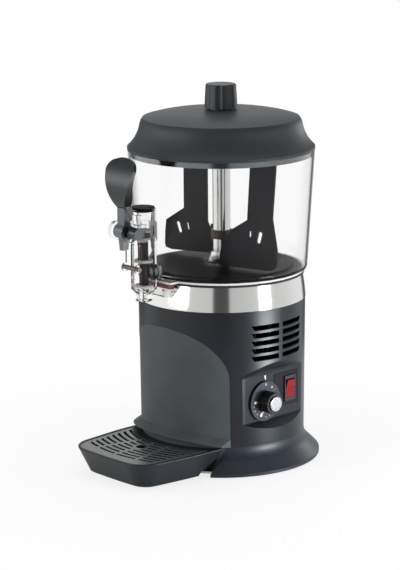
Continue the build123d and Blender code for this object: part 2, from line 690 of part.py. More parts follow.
ledge_steps = Polyline(blend_end, (LEDGE_TIP_R, -LEDGE_DROP), (LEDGE_TIP_R, tip_z), (root_r, tip_z),
                       (root_r, LEDGE_BLEND_RISE), blend_start)
ledge = turned(TangentArc(blend_start, blend_end, tangent=(0, -1)), *ledge_steps.edges())
ledge = Pos(0, 0, SEAM_Z - LEDGE_PIVOT_DROP) * Rot(-LEDGE_TILT, 0, 0) * ledge
ledge_half = ARCH_HALF - SEAM_GAP
ledge &= block((-ledge_half, ledge_half), (-FAR, -WALL), (panel_low, DRUM_TOP_Z))
front_panel = (panel_shell & panel_zone) + (flange_shell & flange_zone)
front_panel += ledge - panel_inside

# Drip tray: tapered tub with a curved back that fits round the panel; its floor bridges the bottom plate.
tray_front_half = TRAY_HALF - TRAY_FRONT_IN
tray_corner_y = TRAY_FRONT_Y + TRAY_FRONT_BOW
tray_side = Polyline((TRAY_HALF, TRAY_BACK_Y), (TRAY_HALF - TRAY_BEND_IN, TRAY_BEND_Y),
                     (tray_front_half, tray_corner_y))
tray_front = ThreePointArc((tray_front_half, tray_corner_y), (0, TRAY_FRONT_Y),
                           (-tray_front_half, tray_corner_y))
tray_back = Line((-TRAY_HALF, TRAY_BACK_Y), (TRAY_HALF, TRAY_BACK_Y))
tray_top = make_face([*tray_side.edges(), tray_front, *mirror(tray_side, Plane.YZ).edges(), tray_back])
tray_top = fillet(tray_top.vertices().sort_by(Axis.Y)[2:4], TRAY_BEND_R)
tray_top = fillet(tray_top.vertices().sort_by(Axis.Y)[:2], TRAY_CORNER_R)


def tray_outline(inset, z):
    """Outline of the tray drawn in from its rim, at a height."""
    return Pos(0, 0, z) * (offset(tray_top, -inset) if inset else tray_top)


rake = Pos(0, TRAY_RAKE, 0)
draft = TRAY_TAPER / (TRAY_TOP_Z - TRAY_Z)
floor_z = TRAY_Z + TRAY_WALL
shelf_z = TRAY_TOP_Z - GRILLE_SINK - GRILLE_T
shelf_inset = TRAY_RIM + TRAY_LEDGE
floor_inset = max(TRAY_WALL + draft * (TRAY_TOP_Z - floor_z), shelf_inset)
bridge_z = BASE_TOP_Z + LIFT_GAP
drip_tray = loft([rake * tray_outline(TRAY_TAPER, TRAY_Z), tray_outline(0, TRAY_TOP_Z)], ruled=True)
tray_levels = drip_tray.edges().group_by(Axis.Z)
drip_tray = fillet([*tray_levels[0], *tray_levels[-1]], TRAY_EDGE_R)
drip_tray -= post(TRAY_BACK_R, 0, HIGH) + post(TRAY_BRIDGE_R, 0, bridge_z)
well = loft([rake * tray_outline(floor_inset, floor_z), tray_outline(shelf_inset, TRAY_TOP_Z)], ruled=True)
well -= post(GRILLE_BACK_R + TRAY_LEDGE, 0, HIGH) + post(TRAY_BRIDGE_R + TRAY_WALL, 0, bridge_z + TRAY_WALL)
seat = extrude(tray_outline(TRAY_RIM, shelf_z), TRAY_TOP_Z) - post(GRILLE_BACK_R - SEAM_GAP, 0, HIGH)
drip_tray -= well
drip_tray -= seat

# Drip grille: plate with slots in rows curved about the drum, straight ribs and a drip hole.
grille_edge = TRAY_RIM + SEAM_GAP
drip_hole_y = TAP_Y - DRIP_HOLE_AHEAD
slot_zone = extrude(tray_outline(grille_edge + GRILLE_BORDER, shelf_z), GRILLE_T)
rows = [SLOT_OUTER_R - SLOT_PITCH * row for row in range(SLOT_ROWS)]
slots = [tube(r + SLOT_W / 2, r - SLOT_W / 2, shelf_z, shelf_z + GRILLE_T) & slot_zone for r in rows]
drip_grille = extrude(tray_outline(grille_edge, shelf_z), GRILLE_T) - post(GRILLE_BACK_R, 0, HIGH)
rib = block((-RIB_W / 2, RIB_W / 2), (-FAR, 0), (0, DRUM_TOP_Z))
land = post(DRIP_HOLE_R + DRIP_HOLE_LAND, 0, DRUM_TOP_Z, 0, drip_hole_y)
keep = land + rib + Rot(0, 0, RIB_ANGLE) * rib + Rot(0, 0, -RIB_ANGLE) * rib
for slot in slots:
    drip_grille -= slot - keep
drip_grille -= post(DRIP_HOLE_R, 0, DRUM_TOP_Z, 0, drip_hole_y)

# Switch plate: thin printed plate round the rocker, cut out round the dial.
bezel_x = RECESS_X + SWITCH_PLATE_T
plate_z = RECESS_Z + SWITCH_PLATE_RISE
switch_plate = block((RECESS_X, bezel_x), (SWITCH_PLATE_FROM_Y, SWITCH_PLATE_TO_Y),
                     (plate_z, plate_z + SWITCH_PLATE_H))
switch_plate -= switch_hole
switch_plate -= bar_x(DIAL_R + SEAM_GAP, RECESS_X, bezel_x, DIAL_Y, DIAL_Z)

# Rocker housing with its bezel, and the rocker on two stub axles.
pivot_x = bezel_x + BEZEL_T - ROCKER_PIVOT_IN
rocker_half = ROCKER_W / 2
well_half = rocker_half + SEAM_GAP
well_high = ROCKER_R + SEAM_GAP
bezel_half = HOUSING_W / 2 + BEZEL_LIP
bezel_high = HOUSING_H / 2 + BEZEL_END_LIP
housing_back = RECESS_X - HOUSING_DEPTH
rocker_bezel = block((bezel_x, bezel_x + BEZEL_T), (-bezel_half, bezel_half), (-bezel_high, bezel_high))
rocker_bezel += block((housing_back, bezel_x), (-HOUSING_W / 2, HOUSING_W / 2),
                      (-HOUSING_H / 2, HOUSING_H / 2))
rocker_bezel -= block((housing_back + WALL, FAR), (-well_half, well_half), (-well_high, well_high))
rocker_bezel -= bar_y(ROCKER_AXLE_R + RUN_GAP, -HOUSING_W / 2, HOUSING_W / 2, pivot_x, 0)
rocker_bezel = Pos(0, SWITCH_Y, SWITCH_Z) * rocker_bezel
rocker = bar_y(ROCKER_R, -rocker_half, rocker_half, 0, 0)
rocker &= block((-ROCKER_R / 2, FAR), (-FAR, FAR), (-FAR, FAR))
wedge = block((ROCKER_PIVOT_IN, FAR), (-FAR, FAR), (0, FAR))
rocker -= Rot(0, ROCKER_FACE_ANGLE, 0) * wedge
rocker -= Rot(0, -ROCKER_FACE_ANGLE, 0) * mirror(wedge, Plane.XY)
axle_half = well_half + ROCKER_AXLE_L
rocker += bar_y(ROCKER_AXLE_R, -axle_half, axle_half, 0, 0)
rocker_button = Pos(pivot_x, SWITCH_Y, SWITCH_Z) * Rot(0, ROCKER_FACE_ANGLE, 0) * rocker

# Thermostat dial: thin disc, fluted grip and shaft; a silver cap closes the grip.
dial_x = RECESS_X + DIAL_GAP
grip_x = dial_x + DIAL_T
cap_x = grip_x + DIAL_KNOB_L
thermostat_x = RECESS_X - WALL
thermostat_dial = bar_x(DIAL_R, dial_x, grip_x, 0, 0) + bar_x(DIAL_KNOB_R, grip_x, cap_x, 0, 0)
for flute in range(DIAL_FLUTES):
    flute_y, flute_z = polar(DIAL_KNOB_R, 360.0 * flute / DIAL_FLUTES)
    thermostat_dial -= bar_x(DIAL_FLUTE_R, grip_x, cap_x, flute_y, flute_z)
thermostat_dial += bar_x(DIAL_SHAFT_R, thermostat_x - THERMOSTAT_DEPTH / 2, grip_x, 0, 0)
thermostat_dial = Pos(0, DIAL_Y, DIAL_Z) * thermostat_dial
dial_cap = Pos(0, DIAL_Y, DIAL_Z) * bar_x(DIAL_CAP_R, cap_x, cap_x + DIAL_CAP_T, 0, 0)
dial_cap = fillet(dial_cap.edges().sort_by(Axis.X)[-1], DIAL_CAP_ROUND)

# Thermostat body behind the control face, with a capillary to a bulb under the tank floor.
half_side = THERMOSTAT_SIDE / 2
thermostat_back = thermostat_x - THERMOSTAT_DEPTH
thermostat_body = block((thermostat_back, thermostat_x), (-half_side, half_side), (-half_side, half_side))
thermostat_body -= bar_x(DIAL_SHAFT_R + RUN_GAP, thermostat_x - THERMOSTAT_DEPTH / 2, thermostat_x, 0, 0)
thermostat_body = Pos(0, DIAL_Y, DIAL_Z) * thermostat_body
bulb_z = TANK_FLOOR_Z - BULB_R
turn_z = bulb_z - CAPILLARY_DROP
capillary_x = thermostat_x - THERMOSTAT_DEPTH / 2
thermostat_bulb = bar_y(BULB_R, BULB_AT[1], BULB_AT[1] + BULB_L, BULB_AT[0], bulb_z)
thermostat_bulb += post(CAPILLARY_R, DIAL_Z + half_side, turn_z, capillary_x, DIAL_Y)
thermostat_bulb += Pos(capillary_x, DIAL_Y, turn_z) * Sphere(CAPILLARY_R)
thermostat_bulb += bar_x(CAPILLARY_R, BULB_AT[0], capillary_x, DIAL_Y, turn_z)
thermostat_bulb += Pos(BULB_AT[0], DIAL_Y, turn_z) * Sphere(CAPILLARY_R)
thermostat_bulb += post(CAPILLARY_R, turn_z, bulb_z, BULB_AT[0], DIAL_Y)

# Tank: polished band above the drum, spigot inside it and a flat floor.
bulge_z = DRUM_TOP_Z + BAND_BULGE_RISE
bulge_r = BAND_BOTTOM_R - BAND_TAPER * BAND_BULGE_RISE / BAND_H + BAND_BULGE
band_out = [(BAND_BOTTOM_R, DRUM_TOP_Z), (bulge_r, bulge_z), (BAND_TOP_R, TANK_TOP_Z)]
band_in = [(BAND_BOTTOM_R - SHEET, DRUM_TOP_Z + SHEET), (bulge_r - SHEET, bulge_z),
           (BAND_TOP_R - SHEET, TANK_TOP_Z - SHEET)]
tank_r = min(drum_radius(TANK_FLOOR_Z), DRUM_TOP_R) - WALL - SEAM_GAP
tank_in = tank_r - SHEET
tank_lip_r = BAND_TOP_R - TANK_LIP_W
floor_top = TANK_FLOOR_Z + SHEET
tank_points = [(tank_r, TANK_FLOOR_Z), (tank_r, DRUM_TOP_Z), band_out[0]]
tank_back = [band_in[0], (tank_in, DRUM_TOP_Z + SHEET), (tank_in, floor_top), (COLUMN_R, floor_top),
             (COLUMN_R, TANK_FLOOR_Z), (tank_r, TANK_FLOOR_Z)]
tank_lip = [band_out[2], (tank_lip_r, TANK_TOP_Z), (tank_lip_r, TANK_TOP_Z - SHEET), band_in[2]]
tank = turned(*Polyline(*tank_points).edges(), ThreePointArc(*band_out), *Polyline(*tank_lip).edges(),
              ThreePointArc(*band_in), *Polyline(*tank_back).edges())
heater_z = floor_top + HEATER_ABOVE_FLOOR
leg_low = heater_z - HEATER_LEG_L
heater_start = 90.0 + (360.0 - HEATER_ARC) / 2
leg_places = [polar(HEATER_R, heater_start), polar(HEATER_R, heater_start + HEATER_ARC)]
for x, y in leg_places:
    tank -= post(HEATER_TUBE_R, TANK_FLOOR_Z, floor_top, x, y)

# Heater: one round tube bent into a ring in the water, both ends through the tank floor.
ring_face = Plane.XZ * Pos(HEATER_R, heater_z) * Circle(HEATER_TUBE_R)
heater_element = Rot(0, 0, heater_start) * revolve(ring_face, Axis.Z, HEATER_ARC)
for x, y in leg_places:
    heater_element += post(HEATER_TUBE_R, leg_low, heater_z, x, y)
    heater_element += Pos(x, y, heater_z) * Sphere(HEATER_TUBE_R)

# Gasket between tank and bowl.
bowl_gasket = tube(GASKET_R, GASKET_R - GASKET_W, TANK_TOP_Z, BOWL_Z)

# Heating plate: dark dished disc whose skirt stands on the gasket.
hotplate_in = HOTPLATE_R - HOTPLATE_RIM_W
step_r = hotplate_in + HOTPLATE_STEP
skirt_in = HOTPLATE_R - HOTPLATE_SHEET
under_rim_z = HOTPLATE_RIM_Z - HOTPLATE_SHEET
under_top_z = HOTPLATE_Z - HOTPLATE_SHEET
heating_plate = turned_outline((COLUMN_R, HOTPLATE_Z), (hotplate_in, HOTPLATE_Z), (step_r, HOTPLATE_RIM_Z),
                               (HOTPLATE_R - HOTPLATE_EDGE, HOTPLATE_RIM_Z),
                               (HOTPLATE_R, HOTPLATE_RIM_Z - HOTPLATE_EDGE), (HOTPLATE_R, BOWL_Z),
                               (skirt_in, BOWL_Z), (skirt_in, under_rim_z),
                               (step_r - HOTPLATE_SHEET, under_rim_z),
                               (hotplate_in - HOTPLATE_SHEET, under_top_z), (COLUMN_R, under_top_z))

# Column: steel tube from the tank floor up through the plate, a bell foot and two bushes for the shaft.
column_low = TANK_FLOOR_Z - COLUMN_TAIL
column_tube = tube(COLUMN_R, COLUMN_BORE_R, column_low, COLUMN_TOP_Z)
foot_top = HOTPLATE_Z + COLUMN_FOOT_H
foot_neck = (COLUMN_R + COLUMN_NECK_W, foot_top)
foot_toe = (COLUMN_R + COLUMN_FOOT_W, HOTPLATE_Z + COLUMN_FOOT_EDGE)
foot_steps = Polyline(foot_toe, (foot_toe[0], HOTPLATE_Z), (COLUMN_R, HOTPLATE_Z), (COLUMN_R, foot_top),
                      foot_neck)
column_foot = turned(TangentArc(foot_neck, foot_toe, tangent=(0, -1)), *foot_steps.edges())
bush_bore = SHAFT_R + RUN_GAP
top_bush = tube(COLUMN_BORE_R, bush_bore, COLUMN_TOP_Z - BUSH_L, COLUMN_TOP_Z)
top_bush += tube(COLUMN_R, bush_bore, COLUMN_TOP_Z, COLUMN_TOP_Z + BUSH_FLANGE)
low_bush = tube(COLUMN_BORE_R, bush_bore, column_low, column_low + BUSH_L)
column_bushes = Compound([top_bush, low_bush])

# Stirrer: one moulding with two upright blades on either side of the column, bars to a hub on the shaft.
stir_low = HOTPLATE_Z + STIR_FLOOR_GAP


def over_plate(points):
    """Points given from the heating plate upward, at their height."""
    return [(x, HOTPLATE_Z + z) for x, z in points]


def blade(corners, slots, y):
    """Upright blade with rounded leaning slots, in its plane beside the column."""
    face = outline(*corners)
    for (x, z), length, width, tilt in slots:
        face -= Pos(x, HOTPLATE_Z + z) * Rot(0, 0, 90 + tilt) * SlotOverall(length, width)
    return prism_y(face, y - STIR_T / 2, y + STIR_T / 2)


def arm(x, y, start, width, low, high):
    """Upright plate from near the axis out to a point."""
    plate = block((start, sqrt(x * x + y * y)), (-width / 2, width / 2), (low, high))
    return Rot(0, 0, degrees(atan2(y, x))) * plate


front_corners = [(FRONT_BLADE_IN, STIR_TOP_Z), (FRONT_BLADE_OUT, STIR_TOP_Z), *over_plate(FRONT_BLADE_SIDE),
                 (FRONT_BLADE_TOE, stir_low), (FRONT_BLADE_ROOT[0][0], stir_low),
                 *over_plate(FRONT_BLADE_ROOT)]
front_slots = [(FRONT_SMALL_SLOT, FRONT_SMALL_SLOT_L, SMALL_SLOT_W, FRONT_SMALL_TILT),
               (FRONT_LARGE_SLOT, LARGE_SLOT_L, LARGE_SLOT_W, FRONT_LARGE_TILT)]
blade_reach = sqrt((BOWL_MOUTH_R - STIR_WALL_GAP) ** 2 - (STIR_OFFSET + STIR_T / 2) ** 2)
back_tip = [(inset - blade_reach, rise) for inset, rise in BACK_BLADE_TIP]
back_corners = [(BACK_BLADE_IN, STIR_TOP_Z), (BACK_BLADE_OUT, STIR_TOP_Z),
                (BACK_BLADE_OUT, HOTPLATE_Z + BACK_BLADE_SHOULDER), *over_plate(back_tip),
                *over_plate(BACK_BLADE_ROOT)]
back_slots = [(BACK_SMALL_SLOT, BACK_SMALL_SLOT_L, SMALL_SLOT_W, BACK_SMALL_TILT),
              (BACK_LARGE_SLOT, LARGE_SLOT_L, LARGE_SLOT_W, BACK_LARGE_TILT)]
stirrer = blade(front_corners, front_slots, -STIR_OFFSET) + blade(back_corners, back_slots, STIR_OFFSET)
hub_z = COLUMN_TOP_Z + BUSH_FLANGE + SEAM_GAP
bar_z = STIR_TOP_Z - STIR_BAR_H
web_top = STIR_BUSH_Z + STIR_BUSH_H
back_web_z = foot_top + STIR_FLOOR_GAP
web_start = STIR_BUSH_R - STIR_BUSH_WALL / 2
stirrer += post(STIR_HUB_R, hub_z, STIR_TOP_Z)
stirrer += arm(FRONT_BAR_X, -STIR_OFFSET, 0, STIR_BAR_W, bar_z, STIR_TOP_Z)
stirrer += arm(BACK_BAR_X, STIR_OFFSET, 0, STIR_BAR_W, bar_z, STIR_TOP_Z)
stirrer += arm(FRONT_WEB_X, -STIR_OFFSET, web_start, STIR_WEB_T, STIR_BUSH_Z, web_top)
stirrer += arm(BACK_WEB_X, STIR_OFFSET, web_start, STIR_WEB_T, back_web_z, web_top)
stirrer -= post(STIR_BUSH_R, 0, hub_z) + post(SHAFT_R, 0, HIGH)
stirrer = Rot(0, 0, STIR_TURN) * stirrer
stirrer_bush = tube(STIR_BUSH_R, COLUMN_R + RUN_GAP, STIR_BUSH_Z, web_top)
drive_shaft = post(SHAFT_R, GEARBOX_Z + GEARBOX_WALL / 2, STIR_TOP_Z)


# Gear train: motor pinion, idler wheel with its pinion, output wheel on the shaft.
def involute(angle):
    """Involute function."""
    return tan(angle) - angle


def gear(teeth, low, tooth_at):
    """Spur gear with one tooth centred at an angle in degrees."""
    pitch_r = GEAR_MODULE * teeth / 2
    base_r = pitch_r * cos(radians(PRESSURE_ANGLE))
    tip_r = pitch_r + GEAR_ADDENDUM * GEAR_MODULE
    root_r = pitch_r - GEAR_DEDENDUM * GEAR_MODULE
    half = pi / (2 * teeth) - BACKLASH / (2 * pitch_r) + involute(radians(PRESSURE_ANGLE))
    start_r = max(base_r, root_r)
    flank = [start_r + (tip_r - start_r) * step / FLANK_STEPS for step in range(FLANK_STEPS + 1)]
    side = [(r, half - involute(acos(min(1.0, base_r / r)))) for r in flank]
    if root_r < base_r:
        side.insert(0, (root_r, side[0][1]))
    tooth = [(r, -a) for r, a in side] + [(r, a) for r, a in reversed(side)]
    points = []
    for index in range(teeth):
        middle = radians(tooth_at) + 2 * pi * index / teeth
        points += [(r * cos(middle + a), r * sin(middle + a)) for r, a in tooth]
    return extrude(Pos(0, 0, low) * outline(*points), GEAR_W)


idler_at = polar(GEAR_CENTRES, IDLER_ANGLE)
motor_from_idler = polar(GEAR_CENTRES, MOTOR_ANGLE)
motor_at = (idler_at[0] + motor_from_idler[0], idler_at[1] + motor_from_idler[1])
half_wheel_pitch = 180.0 / WHEEL_TEETH
low_layer = GEARBOX_Z + GEARBOX_WALL + GEAR_LAYER_GAP
high_layer = low_layer + GEAR_W + GEAR_LAYER_GAP
gearbox_top = high_layer + GEAR_W + GEAR_LAYER_GAP
idler = gear(WHEEL_TEETH, low_layer, MOTOR_ANGLE + half_wheel_pitch)
idler += gear(PINION_TEETH, high_layer, IDLER_ANGLE + 180.0)
idler += post(IDLER_PIN_R + GEAR_HUB_WALL, low_layer, high_layer + GEAR_W)
idler -= post(IDLER_PIN_R + RUN_GAP, 0, gearbox_top)
idler_gear = Pos(idler_at[0], idler_at[1], 0) * idler
output_gear = gear(WHEEL_TEETH, high_layer, IDLER_ANGLE + half_wheel_pitch)
output_gear += post(SHAFT_R + GEAR_HUB_WALL, low_layer, high_layer + GEAR_W)
output_gear -= post(SHAFT_R, 0, gearbox_top)
idler_pin = post(IDLER_PIN_R, GEARBOX_Z, gearbox_top + GEARBOX_WALL, *idler_at)

# Gearbox: open case and flat cover round the three axes.
wheel_room = GEAR_MODULE * (WHEEL_TEETH / 2 + 1) + GEARBOX_ROOM
pinion_room = GEAR_MODULE * (PINION_TEETH / 2 + 1) + GEARBOX_ROOM


def case(margin, low, high):
    """Rounded case outline round the output, idler and motor axes, grown by a margin."""
    shape = post(wheel_room + margin, low, high) + post(wheel_room + margin, low, high, *idler_at)
    shape += post(pinion_room + margin, low, high, *motor_at)
    middle = Pos(idler_at[0] / 2, idler_at[1] / 2, (low + high) / 2)
    link = middle * Rot(0, 0, IDLER_ANGLE) * Box(GEAR_CENTRES, 2 * (wheel_room + margin), high - low)
    return shape + link


gearbox_cover = case(GEARBOX_WALL, gearbox_top, gearbox_top + GEARBOX_WALL)
gearbox_base = case(GEARBOX_WALL, GEARBOX_Z, gearbox_top)
gearbox_base -= case(0, GEARBOX_Z + GEARBOX_WALL, gearbox_top)
gearbox_base -= post(bush_bore, GEARBOX_Z + GEARBOX_WALL / 2, gearbox_top)
for hole_r, place in ((IDLER_PIN_R, idler_at), (ROTOR_SHAFT_R + RUN_GAP, motor_at)):
    gearbox_base -= post(hole_r, 0, gearbox_top, *place)
    gearbox_cover -= post(hole_r, 0, HIGH, *place)
gearbox_cover -= post(bush_bore, 0, HIGH)

# Motor: bracket on four posts, laminated stack with a coil on its limb, rotor with pinion.
bracket_z = GEARBOX_Z - BRACKET_T
bracket_r = DRUM_BOTTOM_R - WALL - BRACKET_WALL_GAP
motor_bracket = block((BRACKET_FROM[0], BRACKET_TO[0]), (BRACKET_FROM[1], BRACKET_TO[1]),
                      (bracket_z, GEARBOX_Z))
motor_bracket &= post(bracket_r, 0, DRUM_TOP_Z)
for x, y in BRACKET_POSTS:
    motor_bracket += post(POST_R, BASE_TOP_Z, bracket_z, x, y)
motor_bracket -= post(ROTOR_SHAFT_R + ROTOR_SHAFT_ROOM, 0, gearbox_top, *motor_at)
motor_bracket -= post(IDLER_PIN_R, 0, gearbox_top, *idler_at)
at_motor = Pos(motor_at[0], motor_at[1], 0)
stack_low = bracket_z - STACK_T
stack_half = STACK_W / 2
window_end = STACK_FRONT - STACK_LIMB
window_start = window_end - STACK_WINDOW
window_half = stack_half - STACK_LIMB
motor_stator = block((-stack_half, stack_half), (-STACK_BACK, STACK_FRONT), (stack_low, bracket_z))
motor_stator -= block((-window_half, window_half), (window_start, window_end), (stack_low, bracket_z))
motor_stator -= post(ROTOR_R + ROTOR_GAP, stack_low, bracket_z)
motor_stator = at_motor * motor_stator
coil_half = COIL_L / 2
limb = block((-coil_half, coil_half), (window_end, STACK_FRONT), (stack_low, bracket_z))
motor_coil = block((-coil_half, coil_half), (window_end - COIL_T, STACK_FRONT + COIL_T),
                   (stack_low - COIL_T, bracket_z))
motor_coil = at_motor * (motor_coil - limb)
motor_rotor = post(ROTOR_R, stack_low + GEAR_LAYER_GAP, bracket_z - GEAR_LAYER_GAP)
motor_rotor += post(ROTOR_SHAFT_R, stack_low - GEAR_LAYER_GAP, gearbox_top + GEARBOX_WALL)
motor_rotor += gear(PINION_TEETH, low_layer, MOTOR_ANGLE + 180.0)
motor_rotor = at_motor * motor_rotor

# Tie rods from the bottom plate to the tank floor, with nuts below.
tie_low = FOOT_H - TIE_NUT_T
tie_rods = Compound([post(TIE_R, tie_low, TANK_FLOOR_Z, x, y) for x, y in tie_places])
nut_face = RegularPolygon(TIE_NUT_R, 6) - Circle(TIE_R)
tie_nuts = Compound([extrude(Pos(x, y, tie_low) * nut_face, TIE_NUT_T) for x, y in tie_places])

# Safety cut-out against the tank floor, terminal block on the bottom plate, cable gland at the rear.
cutout_low = TANK_FLOOR_Z - CUTOUT_FLANGE_T
safety_cutout = post(CUTOUT_R, cutout_low, TANK_FLOOR_Z, *CUTOUT_AT)
safety_cutout += post(CUTOUT_BODY_R, TANK_FLOOR_Z - CUTOUT_H, cutout_low, *CUTOUT_AT)
terminal_x = (TERMINAL_AT[0] - TERMINAL_SIZE[0] / 2, TERMINAL_AT[0] + TERMINAL_SIZE[0] / 2)
terminal_y = (TERMINAL_AT[1] - TERMINAL_SIZE[1] / 2, TERMINAL_AT[1] + TERMINAL_SIZE[1] / 2)
terminal_top = BASE_TOP_Z + TERMINAL_SIZE[2]
terminal_block = block(terminal_x, terminal_y, (BASE_TOP_Z, terminal_top))
terminal_pitch = TERMINAL_SIZE[0] / TERMINAL_POLES
terminal_floor = terminal_top - TERMINAL_HOLE_DEPTH
for pole in range(TERMINAL_POLES):
    pole_x = terminal_x[0] + terminal_pitch * (pole + 0.5)
    terminal_block -= post(TERMINAL_HOLE_R, terminal_floor, terminal_top, pole_x, TERMINAL_AT[1])
gland_out = drum_radius(GLAND_Z)
gland_in = gland_out - WALL
gland_seat = sqrt(gland_out ** 2 - GLAND_FLANGE_R ** 2)
cable_gland = bar_y(GLAND_FLANGE_R, gland_seat, gland_out + GLAND_FLANGE_T, 0, GLAND_Z)
cable_gland -= drum_outside
cable_gland += bar_y(GLAND_R, gland_in - GLAND_TAIL, gland_out + GLAND_FLANGE_T, 0, GLAND_Z)
cable_gland -= bar_y(GLAND_BORE_R, 0, FAR, 0, GLAND_Z)
gland_nut = bar_y(GLAND_FLANGE_R, gland_in - GLAND_NUT_T, gland_out, 0, GLAND_Z) & drum_inside
gland_nut -= bar_y(GLAND_R, 0, FAR, 0, GLAND_Z)

# Bowl: clear tapered wall open at both ends, with an outlet boss and a chute below it at the front.
wall_low = (BOWL_LOW_R, BOWL_TOE_Z)
wall_top = (BOWL_TOP_R, BOWL_TOP_Z)
wall_fall = (wall_low[0] - wall_top[0], wall_low[1] - wall_top[1])
toe = (GASKET_R, BOWL_Z)
bowl_inner = [(BOWL_MOUTH_R, BOWL_Z), (BOWL_MOUTH_R, BOWL_Z + BOWL_TOE_H / 2),
              (BOWL_LOW_R - WALL, BOWL_TOE_Z), (BOWL_TOP_R - WALL, BOWL_TOP_Z)]
bowl_wall = turned(Line(wall_top, wall_low), TangentArc(wall_low, toe, tangent=wall_fall),
                   Line(toe, bowl_inner[0]), *Polyline(*bowl_inner).edges(), Line(bowl_inner[-1], wall_top))
bowl_room = turned_outline((0, BOWL_Z), *bowl_inner, (0, BOWL_TOP_Z))
chute_top = BOWL_Z + CHUTE_TOP_RISE
chute_low = BOWL_Z - CHUTE_DROP


def chute_face(inset):
    """Trapezoid seen from the front, drawn in by a wall thickness."""
    top_half = CHUTE_TOP_HALF - inset
    low_half = CHUTE_LOW_HALF - inset
    low = chute_low + inset
    top = chute_top - inset
    return outline((top_half, top), (low_half, low), (-low_half, low), (-top_half, top))


chute = prism_y(chute_face(0), OUTLET_FACE_Y, -BOWL_MOUTH_R / 2) - post(CHUTE_BACK_R, 0, BOWL_Z)
seal_z = chute_low + SEAL_ABOVE_CHUTE
seal_y = (OUTLET_FACE_Y + CHUTE_WALL, -BOWL_MOUTH_R / 2)
outlet_seal = block((-SEAL_HALF, SEAL_HALF), seal_y, (seal_z, seal_z + SEAL_H))
outlet_seal &= prism_y(chute_face(CHUTE_WALL), OUTLET_FACE_Y, 0)
outlet_seal -= post(CHUTE_BACK_R, 0, HIGH)
boss = bar_y(OUTLET_BOSS_R, OUTLET_FACE_Y, -BOWL_MOUTH_R, 0, OUTLET_Z)
bowl = bowl_wall + ((chute + boss) - bowl_room)
bowl -= post(CHUTE_BACK_R, 0, BOWL_Z)
bowl -= outlet_seal
bowl -= bar_y(SPIGOT_R, OUTLET_FACE_Y, OUTLET_FACE_Y + SPIGOT_L, 0, OUTLET_Z)
bowl -= bar_y(OUTLET_R, OUTLET_FACE_Y, 0, 0, OUTLET_Z)

# Tap body: clear tube with spout, rear spigot, slotted collar, pivot ears and two fins for the stop pin.
at_tap = Pos(0, TAP_Y, 0)
tap_bore_r = TAP_R - TAP_WALL
collar_r = TAP_R + COLLAR_STEP
spout_z = TAP_Z - SPOUT_L
tap_body = turned_outline((0, spout_z), (SPOUT_R, spout_z), (SPOUT_R, TAP_Z - WALL), (TAP_R - WALL, TAP_Z),
                          (TAP_R, TAP_Z + WALL), (TAP_R, COLLAR_Z), (collar_r, COLLAR_Z),
                          (collar_r, COLLAR_TOP_Z), (TAP_R, COLLAR_TOP_Z), (TAP_R, TAP_TOP_Z),
                          (0, TAP_TOP_Z))
tap_bore = turned_outline((0, spout_z), (SPOUT_BORE_R, spout_z), (SPOUT_BORE_R, TAP_Z),
                          (tap_bore_r, TAP_Z + TAP_FLOOR), (tap_bore_r, TAP_TOP_Z), (0, TAP_TOP_Z))
outlet_from_tap = OUTLET_FACE_Y - TAP_Y
ear = bar_x(EAR_R, EAR_FROM, EAR_TO, -PIVOT_REACH, PIVOT_Z)
ear += block((EAR_TO - EAR_ARM_T, EAR_TO), (-PIVOT_REACH, 0),
             (PIVOT_Z - EAR_ARM_H / 2, PIVOT_Z + EAR_ARM_H / 2))
fin = block((FIN_X - FIN_T / 2, FIN_X + FIN_T / 2), (-FIN_REACH, 0),
            (STOP_Z - FIN_BELOW_STOP, COLLAR_TOP_Z))
fin += bar_x(STOP_EYE_R, FIN_X - FIN_T / 2, FIN_X + FIN_T / 2, -STOP_REACH, STOP_Z)
tap_body += both_sides(ear + fin)
tap_body += bar_y(OUTLET_BOSS_R, 0, outlet_from_tap, 0, OUTLET_Z)
tap_body += bar_y(SPIGOT_R, 0, outlet_from_tap + SPIGOT_L, 0, OUTLET_Z)
tap_body -= tap_bore
tap_body -= block((-TAP_SLOT_HALF, TAP_SLOT_HALF), (-2 * TAP_R, 0),
                  (COLLAR_Z - TAP_SLOT_MARGIN, TAP_TOP_Z - TAP_SLOT_MARGIN))
tap_body -= bar_y(OUTLET_R, 0, outlet_from_tap + SPIGOT_L, 0, OUTLET_Z)
tap_body -= bar_x(PIVOT_R, -FAR, FAR, -PIVOT_REACH, PIVOT_Z)
tap_body -= bar_x(STOP_R, -FAR, FAR, -STOP_REACH, STOP_Z)
tap_body = at_tap * tap_body

# Tap cap: black disc with a short plug.
tap_cap = post(CAP_R, TAP_TOP_Z, TAP_TOP_Z + CAP_T) + post(tap_bore_r, TAP_TOP_Z - CAP_PLUG_L, TAP_TOP_Z)
tap_cap = at_tap * tap_cap

# Piston: rod with a groove for the lever fork; two light rings seal it in the tap body.
groove_z = PIVOT_Z - PIVOT_REACH * tan(radians(LEVER_DROOP))
flange_low = groove_z - PISTON_GROOVE / 2
flange_high = groove_z + PISTON_GROOVE / 2
piston_low = TAP_Z + TAP_FLOOR + LIFT_GAP
tap_piston = post(PISTON_R, piston_low, flange_high + PISTON_FLANGE_T)
tap_piston += post(PISTON_FLANGE_R, flange_low - PISTON_FLANGE_T, flange_low)
tap_piston += post(PISTON_FLANGE_R, flange_high, flange_high + PISTON_FLANGE_T)
tap_piston = at_tap * tap_piston
ring_r = tap_bore_r - RUN_GAP
upper_ring_z = TAP_Z + UPPER_SEAL_RISE
lower_ring = tube(ring_r, PISTON_R, piston_low, piston_low + SEAL_RING_T)
upper_ring = tube(ring_r, PISTON_R, upper_ring_z, upper_ring_z + SEAL_RING_T)
piston_seals = at_tap * Compound([lower_ring, upper_ring])

